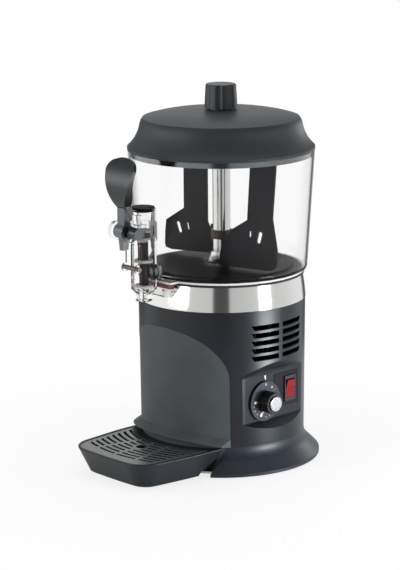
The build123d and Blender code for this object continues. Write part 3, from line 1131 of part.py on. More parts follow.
# Pivot pin with a black knob head, and the brown stop pin in the fins.
head_x = EAR_TO + PIVOT_HEAD_GAP
pivot_pin = bar_x(PIVOT_R, -EAR_TO, head_x, PIVOT_Y, PIVOT_Z)
pivot_pin += bar_x(PIVOT_HEAD_R, head_x, head_x + PIVOT_HEAD_L, PIVOT_Y, PIVOT_Z)
stop_pin = bar_x(STOP_R, -STOP_HALF, STOP_HALF, STOP_Y, STOP_Z)

# Tap lever: hub on the pivot, upright stem and tang, tapering tail, drooping fork in the piston groove.
at_pivot = Pos(0, PIVOT_Y, PIVOT_Z)
stem_y = (-STEM_AHEAD, STEM_DEPTH - STEM_AHEAD)
stem = block((-STEM_HALF, STEM_HALF), stem_y, (0, STEM_RISE))
stem += block((-TANG_HALF, TANG_HALF), (-TANG_AHEAD, TANG_T - TANG_AHEAD), (0, TANG_RISE))
stem = at_pivot * stem
tail_face = outline((-TAIL_ROOT_HALF, 0), (TAIL_ROOT_HALF, 0), (TAIL_TIP_HALF, -TAIL_DROP),
                    (-TAIL_TIP_HALF, -TAIL_DROP))
tail = at_pivot * prism_y(tail_face, *stem_y)
fork_length = PIVOT_REACH / cos(radians(LEVER_DROOP))
half_fork = FORK_H / 2
bridge_end = FORK_BRIDGE + FORK_BRIDGE_T
prong = block((FORK_FROM, FORK_TO), (FORK_BRIDGE, fork_length), (-half_fork, half_fork))
prong += bar_x(FORK_PAD_R, FORK_FROM, FORK_TO, fork_length, 0)
fork = both_sides(prong)
fork += block((-FORK_TO, FORK_TO), (FORK_BRIDGE, bridge_end), (-half_fork, half_fork))
fork += block((-STEM_HALF, STEM_HALF), (0, bridge_end), (-half_fork, half_fork))
tap_lever = stem + tail + at_pivot * Rot(-LEVER_DROOP, 0, 0) * fork
tap_lever += bar_x(LEVER_HUB_R, -LEVER_HUB_HALF, LEVER_HUB_HALF, PIVOT_Y, PIVOT_Z)
tap_lever -= bar_x(PIVOT_R + RUN_GAP, -FAR, FAR, PIVOT_Y, PIVOT_Z)

# Lever grip: black spoon-shaped paddle moulded over the tang; a front outline crossed with a side profile.
grip_foot = (GRIP_FOOT_HALF, GRIP_FOOT_RISE)
grip_wide = (GRIP_WIDE_HALF, GRIP_WIDE_RISE)
grip_brow = (GRIP_BROW_HALF, GRIP_BROW_RISE)
grip_edge = [Line((GRIP_TOE_HALF, GRIP_TOE_RISE), grip_foot),
             ThreePointArc(grip_foot, (GRIP_FLARE_HALF, GRIP_FLARE_RISE), grip_wide),
             ThreePointArc(grip_wide, (GRIP_TURN_HALF, GRIP_TURN_RISE), grip_brow)]
grip_top = ThreePointArc(grip_brow, (0, GRIP_RISE), (-GRIP_BROW_HALF, GRIP_BROW_RISE))
grip_toe = Line((-GRIP_TOE_HALF, GRIP_TOE_RISE), (GRIP_TOE_HALF, GRIP_TOE_RISE))
grip_front = make_face([*grip_edge, grip_top, *[mirror(edge, Plane.YZ) for edge in grip_edge], grip_toe])
grip_side = make_face([Spline(*GRIP_FACE), Line(GRIP_FACE[-1], GRIP_BACK[0]), Spline(*GRIP_BACK),
                       Line(GRIP_BACK[-1], GRIP_FACE[0])])
lever_grip = at_pivot * (prism_y(grip_front, -FAR, FAR) & prism_x(grip_side, -FAR, FAR))
lever_grip -= stem

# Lid: flared black cover with a collar inside the bowl, fluted knob on a narrow foot, and its screw.
rim_z = BOWL_TOP_Z + LID_RIM_H


def lid_side(inset):
    """Edges of one face of the lid from rim to centre, drawn in by a wall, and the two end points."""
    foot = (BOWL_TOP_R - inset, BOWL_TOP_Z)
    rim = (BOWL_TOP_R - inset, rim_z - inset / 2)
    flank = (BOWL_TOP_R - LID_FLANK_IN - inset, BOWL_TOP_Z + LID_FLANK_RISE - inset / 2)
    shoulder = (BOWL_TOP_R - LID_SHOULDER_IN - inset, BOWL_TOP_Z + LID_SHOULDER_RISE - inset / 2)
    crease = (BOWL_TOP_R - LID_CREASE_IN - inset, BOWL_TOP_Z + LID_CREASE_RISE - inset)
    brow = (LID_BROW_R, BOWL_TOP_Z + LID_BROW_RISE - inset)
    top = (0, LID_TOP_Z - inset)
    flare = ThreePointArc(rim, flank, shoulder)
    dome = TangentArc(top, brow, tangent=(1, 0))
    edges = [Line(foot, rim), flare, TangentArc(shoulder, crease, tangent=flare % 1),
             TangentArc(brow, crease, tangent=dome % 1), dome]
    return edges, foot, top


lid_out, lid_out_foot, lid_out_top = lid_side(0)
lid_in, lid_in_foot, lid_in_top = lid_side(WALL)
lid = turned(*lid_out, *lid_in, Line(lid_out_foot, lid_in_foot), Line(lid_out_top, lid_in_top))
collar_out = bowl_radius(BOWL_TOP_Z - LID_COLLAR_H) - WALL - SEAM_GAP
collar_in = collar_out - LID_COLLAR_T
collar_top = BOWL_TOP_Z + LID_RIM_H / 2
lid += tube(collar_out, collar_in, BOWL_TOP_Z - LID_COLLAR_H, collar_top)
lid += tube(BOWL_TOP_R - WALL, collar_in, BOWL_TOP_Z, collar_top)
seat_z = LID_TOP_Z - KNOB_SEAT
lid_inside_z = LID_TOP_Z - WALL
lid -= post(LID_SCREW_R, BOWL_TOP_Z, HIGH) + post(LID_SCREW_HEAD_R, BOWL_TOP_Z, lid_inside_z)
lid -= post(KNOB_FOOT_R, seat_z, HIGH)
knob_z = LID_TOP_Z + KNOB_GAP
knob = Pos(0, 0, knob_z) * Cone(KNOB_R, KNOB_TOP_R, KNOB_H, align=UPRIGHT)
knob = fillet(knob.edges().sort_by(Axis.Z)[-1], KNOB_ROUND)
knob_lean = degrees(atan2(KNOB_R - KNOB_TOP_R, KNOB_H))
flute_bar = Rot(0, -knob_lean, 0) * Cylinder(KNOB_FLUTE_R, 3 * KNOB_H)
flute_r = KNOB_R + KNOB_FLUTE_R - KNOB_FLUTE_DEPTH
for flute in range(KNOB_FLUTES):
    knob -= Rot(0, 0, KNOB_TURN + 360.0 * flute / KNOB_FLUTES) * Pos(flute_r, 0, knob_z) * flute_bar
screw_top = lid_inside_z + LID_SCREW_L
lid_knob = knob + post(KNOB_FOOT_R, seat_z, knob_z)
lid_knob -= post(LID_SCREW_R, 0, screw_top)
lid_screw = post(LID_SCREW_R, lid_inside_z, screw_top)
lid_screw += post(LID_SCREW_HEAD_R, lid_inside_z - LID_SCREW_HEAD_T, lid_inside_z)

PARTS = {
    "rubber_feet": rubber_feet,
    "base_plate": base_plate,
    "base_skirt": base_skirt,
    "housing_drum": housing_drum,
    "front_panel": front_panel,
    "switch_plate": switch_plate,
    "rocker_bezel": rocker_bezel,
    "rocker_button": rocker_button,
    "thermostat_dial": thermostat_dial,
    "dial_cap": dial_cap,
    "thermostat_body": thermostat_body,
    "thermostat_bulb": thermostat_bulb,
    "safety_cutout": safety_cutout,
    "terminal_block": terminal_block,
    "cable_gland": cable_gland,
    "gland_nut": gland_nut,
    "tie_rods": tie_rods,
    "tie_nuts": tie_nuts,
    "tank": tank,
    "heater_element": heater_element,
    "bowl_gasket": bowl_gasket,
    "heating_plate": heating_plate,
    "column_tube": column_tube,
    "column_foot": column_foot,
    "column_bushes": column_bushes,
    "drive_shaft": drive_shaft,
    "stirrer": stirrer,
    "stirrer_bush": stirrer_bush,
    "output_gear": output_gear,
    "idler_gear": idler_gear,
    "idler_pin": idler_pin,
    "gearbox_base": gearbox_base,
    "gearbox_cover": gearbox_cover,
    "motor_bracket": motor_bracket,
    "motor_stator": motor_stator,
    "motor_coil": motor_coil,
    "motor_rotor": motor_rotor,
    "bowl": bowl,
    "outlet_seal": outlet_seal,
    "tap_body": tap_body,
    "tap_cap": tap_cap,
    "tap_piston": tap_piston,
    "piston_seals": piston_seals,
    "tap_lever": tap_lever,
    "lever_grip": lever_grip,
    "pivot_pin": pivot_pin,
    "stop_pin": stop_pin,
    "lid": lid,
    "lid_knob": lid_knob,
    "lid_screw": lid_screw,
    "drip_tray": drip_tray,
    "drip_grille": drip_grille,
}

os.makedirs("parts", exist_ok=True)
footprint = Pos(0, -(TRAY_FRONT_Y + SKIRT_RIM_R) / 2, 0)
for name, shape in PARTS.items():
    export_step(footprint * shape, f"parts/{name}.step")
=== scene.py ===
from math import radians

import bmesh
import bpy
import numpy as np
from mathutils import Matrix, Vector


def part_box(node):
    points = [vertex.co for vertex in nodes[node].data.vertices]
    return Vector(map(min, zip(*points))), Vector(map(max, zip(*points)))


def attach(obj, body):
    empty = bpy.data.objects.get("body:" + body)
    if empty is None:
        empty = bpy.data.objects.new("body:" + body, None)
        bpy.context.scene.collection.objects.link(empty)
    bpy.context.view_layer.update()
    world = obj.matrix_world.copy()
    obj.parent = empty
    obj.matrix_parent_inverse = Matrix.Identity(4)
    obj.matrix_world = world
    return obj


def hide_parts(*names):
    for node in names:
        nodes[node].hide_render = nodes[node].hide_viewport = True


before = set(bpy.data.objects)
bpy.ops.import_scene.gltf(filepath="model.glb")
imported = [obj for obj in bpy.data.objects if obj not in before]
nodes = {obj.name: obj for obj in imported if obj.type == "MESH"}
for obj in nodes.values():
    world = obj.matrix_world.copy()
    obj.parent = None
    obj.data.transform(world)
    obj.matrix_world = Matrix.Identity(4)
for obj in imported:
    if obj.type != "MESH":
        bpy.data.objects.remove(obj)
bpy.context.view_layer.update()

# Base. A moulded charcoal skirt flares out over a pressed steel bottom plate on four rubber feet. Three
# zinc-plated tie rods with nuts pull the plate, the drum and the tank together. The skirt has the fine even
# grain of a spark-eroded mould.
SKIRT_CHARCOAL = (0.0120, 0.0150, 0.0215)
MOULD_GRAIN = 1400.0
HAZE_PATCHES = 28.0
HAZE_DETAIL = 3.0
HAZE_GLOSS = 0.025
LINE_DETAIL = 3.0
LINE_SMOOTHER = 0.8
LINE_ROUGHER = 1.25


def finish(name, colour, roughness, metallic=0.0, specular=0.5):
    """A new material; returns it with its node tree, its shader and the object's own coordinates."""
    made = bpy.data.materials.new(name)
    made.use_nodes = True
    tree = made.node_tree
    shader = tree.nodes["Principled BSDF"]
    shader.inputs["Base Color"].default_value = (*colour, 1)
    shader.inputs["Roughness"].default_value = roughness
    shader.inputs["Metallic"].default_value = metallic
    shader.inputs["Specular IOR Level"].default_value = specular
    place = tree.nodes.new("ShaderNodeTexCoord").outputs["Object"]
    return made, tree, shader, place


def patches(tree, place, per_metre, detail=2.0, stretch=(1.0, 1.0, 1.0)):
    """Noise with so many patches to the metre, drawn out along the axes whose stretch is under 1."""
    mapping = tree.nodes.new("ShaderNodeMapping")
    mapping.inputs["Scale"].default_value = stretch
    noise = tree.nodes.new("ShaderNodeTexNoise")
    noise.inputs["Scale"].default_value = per_metre
    noise.inputs["Detail"].default_value = detail
    tree.links.new(place, mapping.inputs["Vector"])
    tree.links.new(mapping.outputs["Vector"], noise.inputs["Vector"])
    return noise.outputs["Fac"]


def between(tree, value, low, high, start=0.3, end=0.7):
    """A value carried smoothly from start..end onto low..high."""
    span = tree.nodes.new("ShaderNodeMapRange")
    span.interpolation_type = "SMOOTHSTEP"
    for socket, number in zip(("From Min", "From Max", "To Min", "To Max"), (start, end, low, high)):
        span.inputs[socket].default_value = number
    tree.links.new(value, span.inputs["Value"])
    return span.outputs["Result"]


def two_tone(tree, value, first, second):
    """A colour that goes from the first to the second as the value goes from 0 to 1; each of the two is a
    colour or an output of another node."""
    mix = tree.nodes.new("ShaderNodeMix")
    mix.data_type = "RGBA"
    for socket, colour in (("A", first), ("B", second)):
        if isinstance(colour, tuple):
            mix.inputs[socket].default_value = (*colour, 1)
        else:
            tree.links.new(colour, mix.inputs[socket])
    tree.links.new(value, mix.inputs["Factor"])
    return mix.outputs["Result"]


def relief(tree, shader, value, depth):
    """Fine relief of that depth in metres from a value."""
    bump = tree.nodes.new("ShaderNodeBump")
    bump.inputs["Distance"].default_value = depth
    tree.links.new(value, bump.inputs["Height"])
    tree.links.new(bump.outputs["Normal"], shader.inputs["Normal"])


def shade(colour, factor):
    """The colour made lighter or darker."""
    return tuple(min(1.0, part * factor) for part in colour)


def moulded(name, colour, roughness, specular=0.5, grain=MOULD_GRAIN, depth=0.00003, cloud=0.10):
    """Moulded plastic: a fine mould grain, and colour and gloss that cloud a little over centimetres."""
    made, tree, shader, place = finish(name, colour, roughness, specular=specular)
    haze = patches(tree, place, HAZE_PATCHES, HAZE_DETAIL)
    cloudy = between(tree, haze, 0.0, 1.0)
    clouded = two_tone(tree, cloudy, shade(colour, 1 - cloud), shade(colour, 1 + cloud))
    tree.links.new(clouded, shader.inputs["Base Color"])
    gloss = between(tree, haze, roughness - HAZE_GLOSS, roughness + HAZE_GLOSS)
    tree.links.new(gloss, shader.inputs["Roughness"])
    relief(tree, shader, patches(tree, place, grain), depth)
    return made


def drawn_metal(name, colour, roughness, stretch=(0.05, 0.05, 1.0), lines=900.0, depth=0.000004):
    """Bare metal with fine lines, along the axes whose stretch is small, in its gloss and its surface."""
    made, tree, shader, place = finish(name, colour, roughness, metallic=1.0)
    line = patches(tree, place, lines, LINE_DETAIL, stretch)
    gloss = between(tree, line, roughness * LINE_SMOOTHER, roughness * LINE_ROUGHER)
    tree.links.new(gloss, shader.inputs["Roughness"])
    relief(tree, shader, line, depth)
    return made


def rubber(name, colour, roughness=0.75):
    """Moulded rubber: dull, with a soft uneven skin."""
    return moulded(name, colour, roughness, specular=0.35, grain=700.0, depth=0.00005, cloud=0.18)


def put_on(made, *names):
    """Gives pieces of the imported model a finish."""
    for name in names:
        slots = nodes[name].data.materials
        slots.clear()
        slots.append(made)


zinc = drawn_metal("zinc_plated_steel", (0.52, 0.52, 0.50), 0.38)
put_on(moulded("skirt_plastic", SKIRT_CHARCOAL, 0.40, specular=0.35), "base_skirt")
put_on(zinc, "base_plate", "tie_rods", "tie_nuts")
put_on(rubber("foot_rubber", (0.02, 0.02, 0.02)), "rubber_feet")

# Housing drum. One charcoal moulding, satin like the skirt it sits in, with two banks of slanted vents and
# the recess for the controls on its right. The flat control face is duller and darker. The walls of the
# slots are duller and painted near black, a painted shade.
CHARCOAL = (0.0085, 0.0102, 0.0138)
AXIS_Y = 0.039
FASCIA_X = 0.0925
FASCIA_FLAT = 0.0005
FASCIA_HALF = 0.047
FASCIA_DARK = (0.0045, 0.0056, 0.0085)
VENT_MIDDLE_Z = 0.1750
VENT_HALF = 0.0300
# painted shade: near black for the walls of the vent slots, which lie in shadow
SLOT_PAINTED_SHADE = (0.0012, 0.0013, 0.0018)
DRUM_FOOT_R = 0.1052
DRUM_TAPER = 0.0086
SKIN = 0.0002
DRUM_SATIN = 0.34
DRUM_DULL = 0.62


def worked(tree, operation, *values):
    """Arithmetic in a node tree on values that are numbers or outputs of other nodes."""
    step = tree.nodes.new("ShaderNodeMath")
    step.operation = operation
    for socket, value in zip(step.inputs, values):
        if isinstance(value, float):
            socket.default_value = value
        else:
            tree.links.new(value, socket)
    return step.outputs["Value"]


def near(tree, value, middle, reach):
    """1 where the value is within reach of the middle and 0 farther out."""
    return worked(tree, "COMPARE", value, middle, reach)


def split(tree, vector):
    """The X, Y and Z of a vector."""
    parts = tree.nodes.new("ShaderNodeSeparateXYZ")
    tree.links.new(vector, parts.inputs["Vector"])
    return parts.outputs["X"], parts.outputs["Y"], parts.outputs["Z"]


def length_of(tree, vector):
    """The length of a vector."""
    length = tree.nodes.new("ShaderNodeVectorMath")
    length.operation = "LENGTH"
    tree.links.new(vector, length.inputs[0])
    return length.outputs["Value"]


def outward(tree, place):
    """Distance from the upright axis of the drum."""
    flat = tree.nodes.new("ShaderNodeVectorMath")
    flat.operation = "MULTIPLY_ADD"
    flat.inputs[1].default_value = (1.0, 1.0, 0.0)
    flat.inputs[2].default_value = (0.0, -AXIS_Y, 0.0)
    tree.links.new(place, flat.inputs[0])
    return length_of(tree, flat.outputs["Vector"])


drum_plastic, drum_tree, drum_shader, drum_place = finish("drum_plastic", CHARCOAL, DRUM_SATIN,
                                                          specular=0.28)
drum_x, drum_y, drum_z = split(drum_tree, drum_place)
fascia = worked(drum_tree, "MULTIPLY", near(drum_tree, drum_x, FASCIA_X, FASCIA_FLAT),
                near(drum_tree, drum_y, AXIS_Y, FASCIA_HALF))
skin_r = worked(drum_tree, "MULTIPLY_ADD", drum_z, DRUM_TAPER, DRUM_FOOT_R)
depth_in = worked(drum_tree, "SUBTRACT", skin_r, outward(drum_tree, drum_place))
# painted shade: the slot walls, inward of the drum's skin in the vent banks, are painted near black
slots = worked(drum_tree, "MULTIPLY", near(drum_tree, drum_z, VENT_MIDDLE_Z, VENT_HALF),
               between(drum_tree, depth_in, 0.0, 1.0, SKIN, 2 * SKIN))
drum_haze = between(drum_tree, patches(drum_tree, drum_place, HAZE_PATCHES, HAZE_DETAIL), 0.0, 1.0)
drum_colour = two_tone(drum_tree, drum_haze, shade(CHARCOAL, 0.9), shade(CHARCOAL, 1.1))
drum_colour = two_tone(drum_tree, fascia, drum_colour, FASCIA_DARK)
drum_colour = two_tone(drum_tree, slots, drum_colour, SLOT_PAINTED_SHADE)
drum_tree.links.new(drum_colour, drum_shader.inputs["Base Color"])
dull = worked(drum_tree, "MAXIMUM", fascia, slots)
drum_gloss = between(drum_tree, dull, DRUM_SATIN, DRUM_DULL, 0.0, 1.0)
drum_tree.links.new(drum_gloss, drum_shader.inputs["Roughness"])
relief(drum_tree, drum_shader, patches(drum_tree, drum_place, MOULD_GRAIN), depth=0.000015)
put_on(drum_plastic, "housing_drum")

# Front panel. A matt, slightly greener grey moulding let into the front of the drum, with a sloping ledge
# below that sheds drips into the tray.
panel_plastic = moulded("panel_plastic", (0.050, 0.057, 0.060), 0.62, specular=0.3, grain=1000.0,
                        depth=0.00004)
put_on(panel_plastic, "front_panel")

# Works in the drum. A shaded-pole motor on a steel bracket drives the stirrer shaft through two nylon
# wheels; the heater, thermostat, cut-out and terminals are beside it, and a nut holds a nylon gland at the
# back.
lamination = drawn_metal("lamination_steel", (0.32, 0.32, 0.33), 0.45)
nylon = moulded("white_nylon", (0.70, 0.68, 0.62), 0.45)
phenolic = moulded("brown_phenolic", (0.08, 0.06, 0.045), 0.5)
winding = drawn_metal("enamelled_copper", (0.42, 0.17, 0.08), 0.35, stretch=(1.0, 1.0, 0.05), lines=2500.0,
                      depth=0.00002)
dull_copper = drawn_metal("dull_copper", (0.050, 0.034, 0.026), 0.6)
gland_nylon = moulded("gland_nylon", (0.012, 0.012, 0.013), 0.42)
put_on(lamination, "motor_stator", "motor_rotor", "motor_bracket")
put_on(lamination, "gearbox_base", "gearbox_cover", "idler_pin")
put_on(nylon, "output_gear", "idler_gear", "terminal_block")
put_on(phenolic, "thermostat_body", "safety_cutout")
put_on(winding, "motor_coil")
put_on(dull_copper, "thermostat_bulb")
put_on(drawn_metal("heater_sheath", (0.30, 0.29, 0.27), 0.45), "heater_element")
put_on(gland_nylon, "cable_gland", "gland_nut")

# Switch. A thin dark plate lies on the control face, and a black frame, moulded with the switch's housing,
# goes through it. A glossy red rocker tips in and out in the frame.
FINE_RELIEF = 0.00001
switch_plastic = moulded("switch_plate_plastic", shade(CHARCOAL, 0.6), 0.55, specular=0.12,
                         depth=FINE_RELIEF)
frame_black = moulded("switch_frame_plastic", (0.006, 0.006, 0.008), 0.30, depth=FINE_RELIEF)
rocker_red = moulded("rocker_plastic", (0.17, 0.003, 0.007), 0.14, specular=0.3, depth=0.000004)
put_on(switch_plastic, "switch_plate")
put_on(frame_black, "rocker_bezel")
put_on(rocker_red, "rocker_button")

# Thermostat dial. A grey disc with a fluted black knob, moulded in one and turned by hand; a spun aluminium
# cap closes the knob. The marks are printed on the disc, and a white pointer printed above it shows the
# setting.
DIAL_AXIS_Y = AXIS_Y - 0.0150
DIAL_AXIS_Z = 0.0881
DISC_FACE_X = 0.0962
KNOB_FROM = 0.0001
KNOB_FULL = 0.0004
DISC_GREY = (0.016, 0.020, 0.026)
KNOB_BLACK = (0.004, 0.004, 0.005)
PRINT = 0.00006
WELD = 0.000001

dial_plastic, dial_tree, dial_shader, dial_place = finish("dial_plastic", DISC_GREY, 0.42, specular=0.25)
dial_x = split(dial_tree, dial_place)[0]
knob_part = between(dial_tree, dial_x, 0.0, 1.0, DISC_FACE_X + KNOB_FROM, DISC_FACE_X + KNOB_FULL)
dial_colour = two_tone(dial_tree, knob_part, DISC_GREY, KNOB_BLACK)
dial_tree.links.new(dial_colour, dial_shader.inputs["Base Color"])
relief(dial_tree, dial_shader, patches(dial_tree, dial_place, per_metre=1500.0), FINE_RELIEF)
put_on(dial_plastic, "thermostat_dial")
cap_metal = drawn_metal("spun_aluminium", (0.40, 0.40, 0.41), 0.22, stretch=(1.0, 0.2, 0.2), lines=2600.0)
put_on(cap_metal, "dial_cap")


def sheet_mesh(name, points, made):
    """Mesh of a grid of points, given as rows by columns by three, with faces between neighbours; points
    that fall together at a seam or a pole are welded and the faces turned outward."""
    rows, columns = points.shape[:2]
    first = (np.arange(rows - 1)[:, None] * columns + np.arange(columns - 1)[None, :]).ravel()
    faces = np.stack([first, first + 1, first + columns + 1, first + columns], axis=1)
    mesh = bpy.data.meshes.new(name)
    mesh.from_pydata(points.reshape(-1, 3).tolist(), [], faces.tolist())
    skin = bmesh.new()
    skin.from_mesh(mesh)
    bmesh.ops.remove_doubles(skin, verts=skin.verts, dist=WELD)
    bmesh.ops.recalc_face_normals(skin, faces=skin.faces)
    skin.to_mesh(mesh)
    skin.free()
    mesh.materials.append(made)
    piece = bpy.data.objects.new(name, mesh)
    bpy.context.scene.collection.objects.link(piece)
    return piece


def dial_mark(name, radius, angle, length, width, made):
    """Printed mark on the disc: a small oval of that length along the radius and width across it, from a
    polar grid of its own, with its height falling from the print's thickness in the middle to the disc at
    its edge; its back lies just in the disc."""
    rings = np.array([0.0, 0.25, 0.5, 0.75, 1.0, 0.5, 0.0])[:, None]
    rise = np.array([1.0, 1.0, 0.94, 0.68, 0.0, -0.3, -0.3])[:, None]
    round_it = np.linspace(0.0, 2 * np.pi, 25)[None, :]
    out = radius + length / 2 * rings * np.cos(round_it)
    across = width / 2 * rings * np.sin(round_it)
    turn = radians(angle)
    y = DIAL_AXIS_Y + out * np.cos(turn) - across * np.sin(turn)
    z = DIAL_AXIS_Z + out * np.sin(turn) + across * np.cos(turn)
    x = DISC_FACE_X + PRINT * rise + 0 * y
    piece = sheet_mesh(name, np.stack([x, y, z], axis=2), made)
    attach(piece, "dial")


def ink(name, colour):
    """Printing ink: matt and nearly even."""
    return moulded(name, colour, 0.5, cloud=0.05)


DOT_RING = 0.0208
DOT_SIZE = 0.0021
DOT_ANGLES = (190.6, 207.4, 224.2, 271.4, 288.2, 305.0)
FIGURE_L = 0.0052
FIGURE_W = 0.0034
INNER_SIZE = 0.0030
white_ink = ink("white_ink", (0.66, 0.66, 0.65))
grey_ink = ink("grey_ink", (0.17, 0.19, 0.19))
pink_ink = ink("pink_ink", (0.45, 0.13, 0.13))
red_ink = ink("red_ink", (0.20, 0.03, 0.03))
beige_ink = ink("beige_ink", (0.50, 0.40, 0.32))
for count, angle in enumerate(DOT_ANGLES):
    dial_mark(f"dial_dot_{count}", DOT_RING, angle, DOT_SIZE, DOT_SIZE, grey_ink)
dial_mark("dial_zero", 0.0217, 88.4, 0.0034, 0.0014, white_ink)
dial_mark("dial_first", 0.0178, 176.5, FIGURE_L, FIGURE_W, white_ink)
dial_mark("dial_first_inner", 0.0126, 176.5, INNER_SIZE, INNER_SIZE, pink_ink)
dial_mark("dial_second", 0.0182, 246.0, FIGURE_L, FIGURE_W, white_ink)
dial_mark("dial_second_inner", 0.0147, 251.0, INNER_SIZE, INNER_SIZE, pink_ink)
dial_mark("dial_off", 0.0198, 55.9, 0.0030, 0.0024, beige_ink)
dial_mark("dial_limit", DOT_RING, 38.0, 0.0048, 0.0012, red_ink)

POINTER_Y = AXIS_Y - 0.0126
POINTER_LEAN = 0.0009
POINTER_TOP_Z = 0.1204
POINTER_L = 0.0060
POINTER_HALF = 0.0016
POINTER_NARROWING = 0.75


def pointer_print(name, made):
    """Printed pointer: a bar that narrows downward, an ellipse across, closed to a point at both ends."""
    along = np.array([0.0, *np.linspace(0.0, 1.0, 9), 1.0])[:, None]
    swell = np.array([0.0, *np.ones(9), 0.0])[:, None]
    round_it = np.linspace(0.0, 2 * np.pi, 17)[None, :]
    half = POINTER_HALF * (1 - POINTER_NARROWING * along) * swell
    y = POINTER_Y + POINTER_LEAN * along + half * np.cos(round_it)
    z = POINTER_TOP_Z - POINTER_L * along + 0 * round_it
    x = FASCIA_X + PRINT * swell * np.sin(round_it)
    piece = sheet_mesh(name, np.stack([x, y, z], axis=2), made)
    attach(piece, "machine")


pointer_print("dial_pointer", white_ink)

# Water tank. A deep-drawn stainless pot, polished all round where it shows as a bright band between the drum
# and the bowl; a rubber gasket and a dark coated hotplate close its top.
polished = drawn_metal("polished_stainless", (0.74, 0.74, 0.73), 0.10, stretch=(0.03, 0.03, 1.0),
                       lines=1500.0, depth=0.0000012)
plate_coating = moulded("plate_coating", (0.024, 0.0215, 0.0215), 0.50, specular=0.12, grain=900.0,
                        depth=0.00002)
put_on(polished, "tank")
put_on(plate_coating, "heating_plate")
put_on(rubber("gasket_rubber", (0.012, 0.012, 0.012)), "bowl_gasket")

# Column. A bright steel tube with a spun bell-shaped foot stands on the plate and carries the shaft in two
# bronze bushes.
UPRIGHT = (1.0, 1.0, 0.03)
tube_steel = drawn_metal("column_steel", (0.72, 0.72, 0.71), 0.14, UPRIGHT, lines=1800.0, depth=0.000002)
foot_steel = drawn_metal("foot_steel", (0.80, 0.80, 0.79), 0.22, UPRIGHT, lines=1800.0, depth=0.000002)
put_on(tube_steel, "column_tube", "drive_shaft")
put_on(foot_steel, "column_foot")
put_on(drawn_metal("bush_bronze", (0.42, 0.30, 0.16), 0.4), "column_bushes")

# Stirrer. A black nylon moulding with two tall blades that sweep the wall and the plate, pushed over the
# shaft on a brown bush.
stirrer_nylon = moulded("stirrer_nylon", (0.032, 0.030, 0.035), 0.55, specular=0.3, grain=1100.0,
                        depth=0.00004)
brown_plastic = moulded("brown_plastic", (0.10, 0.07, 0.055), 0.4)
put_on(stirrer_nylon, "stirrer")
put_on(brown_plastic, "stirrer_bush")

# Bowl. A clear polycarbonate cone, open below, that sits over the plate on its gasket; a chute at its front
# leads to the tap. The plastic is faintly grey in its depth, so its walls show where they are seen edge on,
# and its foot is matt.
DEPTH_GREY = (0.50, 0.52, 0.50)
DEPTH_DENSITY = 14.0
FOOT_MATT = 0.0030
FOOT_CLEARNESS = 0.45


def clear(name, ior, roughness):
    """Clear moulding: faint waves from the mould, and a tint that grows with the thickness that is looked
    through; returns it with its node tree, its shader and the object's own coordinates."""
    made, tree, shader, place = finish(name, (1.0, 1.0, 1.0), roughness)
    shader.inputs["Transmission Weight"].default_value = 1.0
    shader.inputs["IOR"].default_value = ior
    relief(tree, shader, patches(tree, place, per_metre=45.0, detail=1.0), depth=0.00002)
    tint = tree.nodes.new("ShaderNodeVolumeAbsorption")
    tint.inputs["Color"].default_value = (*DEPTH_GREY, 1)
    tint.inputs["Density"].default_value = DEPTH_DENSITY
    tree.links.new(tint.outputs["Volume"], tree.nodes["Material Output"].inputs["Volume"])
    return made, tree, shader, place


bowl_clear, bowl_tree, bowl_shader, bowl_place = clear("bowl_polycarbonate", ior=1.18, roughness=0.015)
foot_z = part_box("bowl_gasket")[1].z + FOOT_MATT / 2
foot = near(bowl_tree, split(bowl_tree, bowl_place)[2], foot_z, FOOT_MATT / 2)
bowl_clearness = between(bowl_tree, foot, 1.0, FOOT_CLEARNESS, 0.0, 1.0)
bowl_tree.links.new(bowl_clearness, bowl_shader.inputs["Transmission Weight"])
put_on(bowl_clear, "bowl")

# Outlet seal. A dark red bar of moulded rubber, pressed between the chute and the tank's wall. It is drawn a
# little easy in the chute, because rubber and clear plastic that lie face to face would show black.
SEAL_EASE = 0.0004
SEAL_CORNER = 0.3
SEAL_LEAN = 0.27
TANK_R = 0.1084


def seal_bar(name, made):
    """Outlet seal: a bar from left to right whose section is a superellipse, with its back bent round the
    tank, its ends sloping in downward, and both ends closed to a point."""
    low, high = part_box("outlet_seal")
    along = np.array([-1.0, *np.linspace(-1.0, 1.0, 33), 1.0])[:, None]
    swell = np.array([0.0, *np.ones(33), 0.0])[:, None]
    round_it = np.linspace(0.0, 2 * np.pi, 49)[None, :]
    lean_y = swell * np.sign(np.cos(round_it)) * np.abs(np.cos(round_it)) ** SEAL_CORNER
    lean_z = swell * np.sign(np.sin(round_it)) * np.abs(np.sin(round_it)) ** SEAL_CORNER
    half_h = (high.z - low.z) / 2 - SEAL_EASE
    z = (high.z + low.z) / 2 + half_h * lean_z
    x = along * (high.x - SEAL_EASE - SEAL_LEAN * half_h * (1 - lean_z))
    back = AXIS_Y - np.sqrt(TANK_R ** 2 - x ** 2) - SEAL_EASE
    front = low.y + SEAL_EASE
    y = (back + front) / 2 + (back - front) / 2 * lean_y
    piece = sheet_mesh(name, np.stack([x, y, z], axis=2), made)
    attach(piece, "bowl")
    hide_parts("outlet_seal")


seal_bar("outlet_seal_bar", rubber("seal_rubber", (0.22, 0.050, 0.045), 0.5))

# Tap. A clear upright body whose matt spigot sits in the chute, with a black plug on top; a dark red piston
# with a pale head and pale rings slides in it and is lifted by the lever.
SPIGOT_L = 0.0064
SPIGOT_CLEARNESS = 0.25
PISTON_HEAD_Z = 0.2960
COLOUR_EDGE = 0.0002
PISTON_RED = (0.034, 0.017, 0.021)
PISTON_PALE = (0.55, 0.54, 0.52)

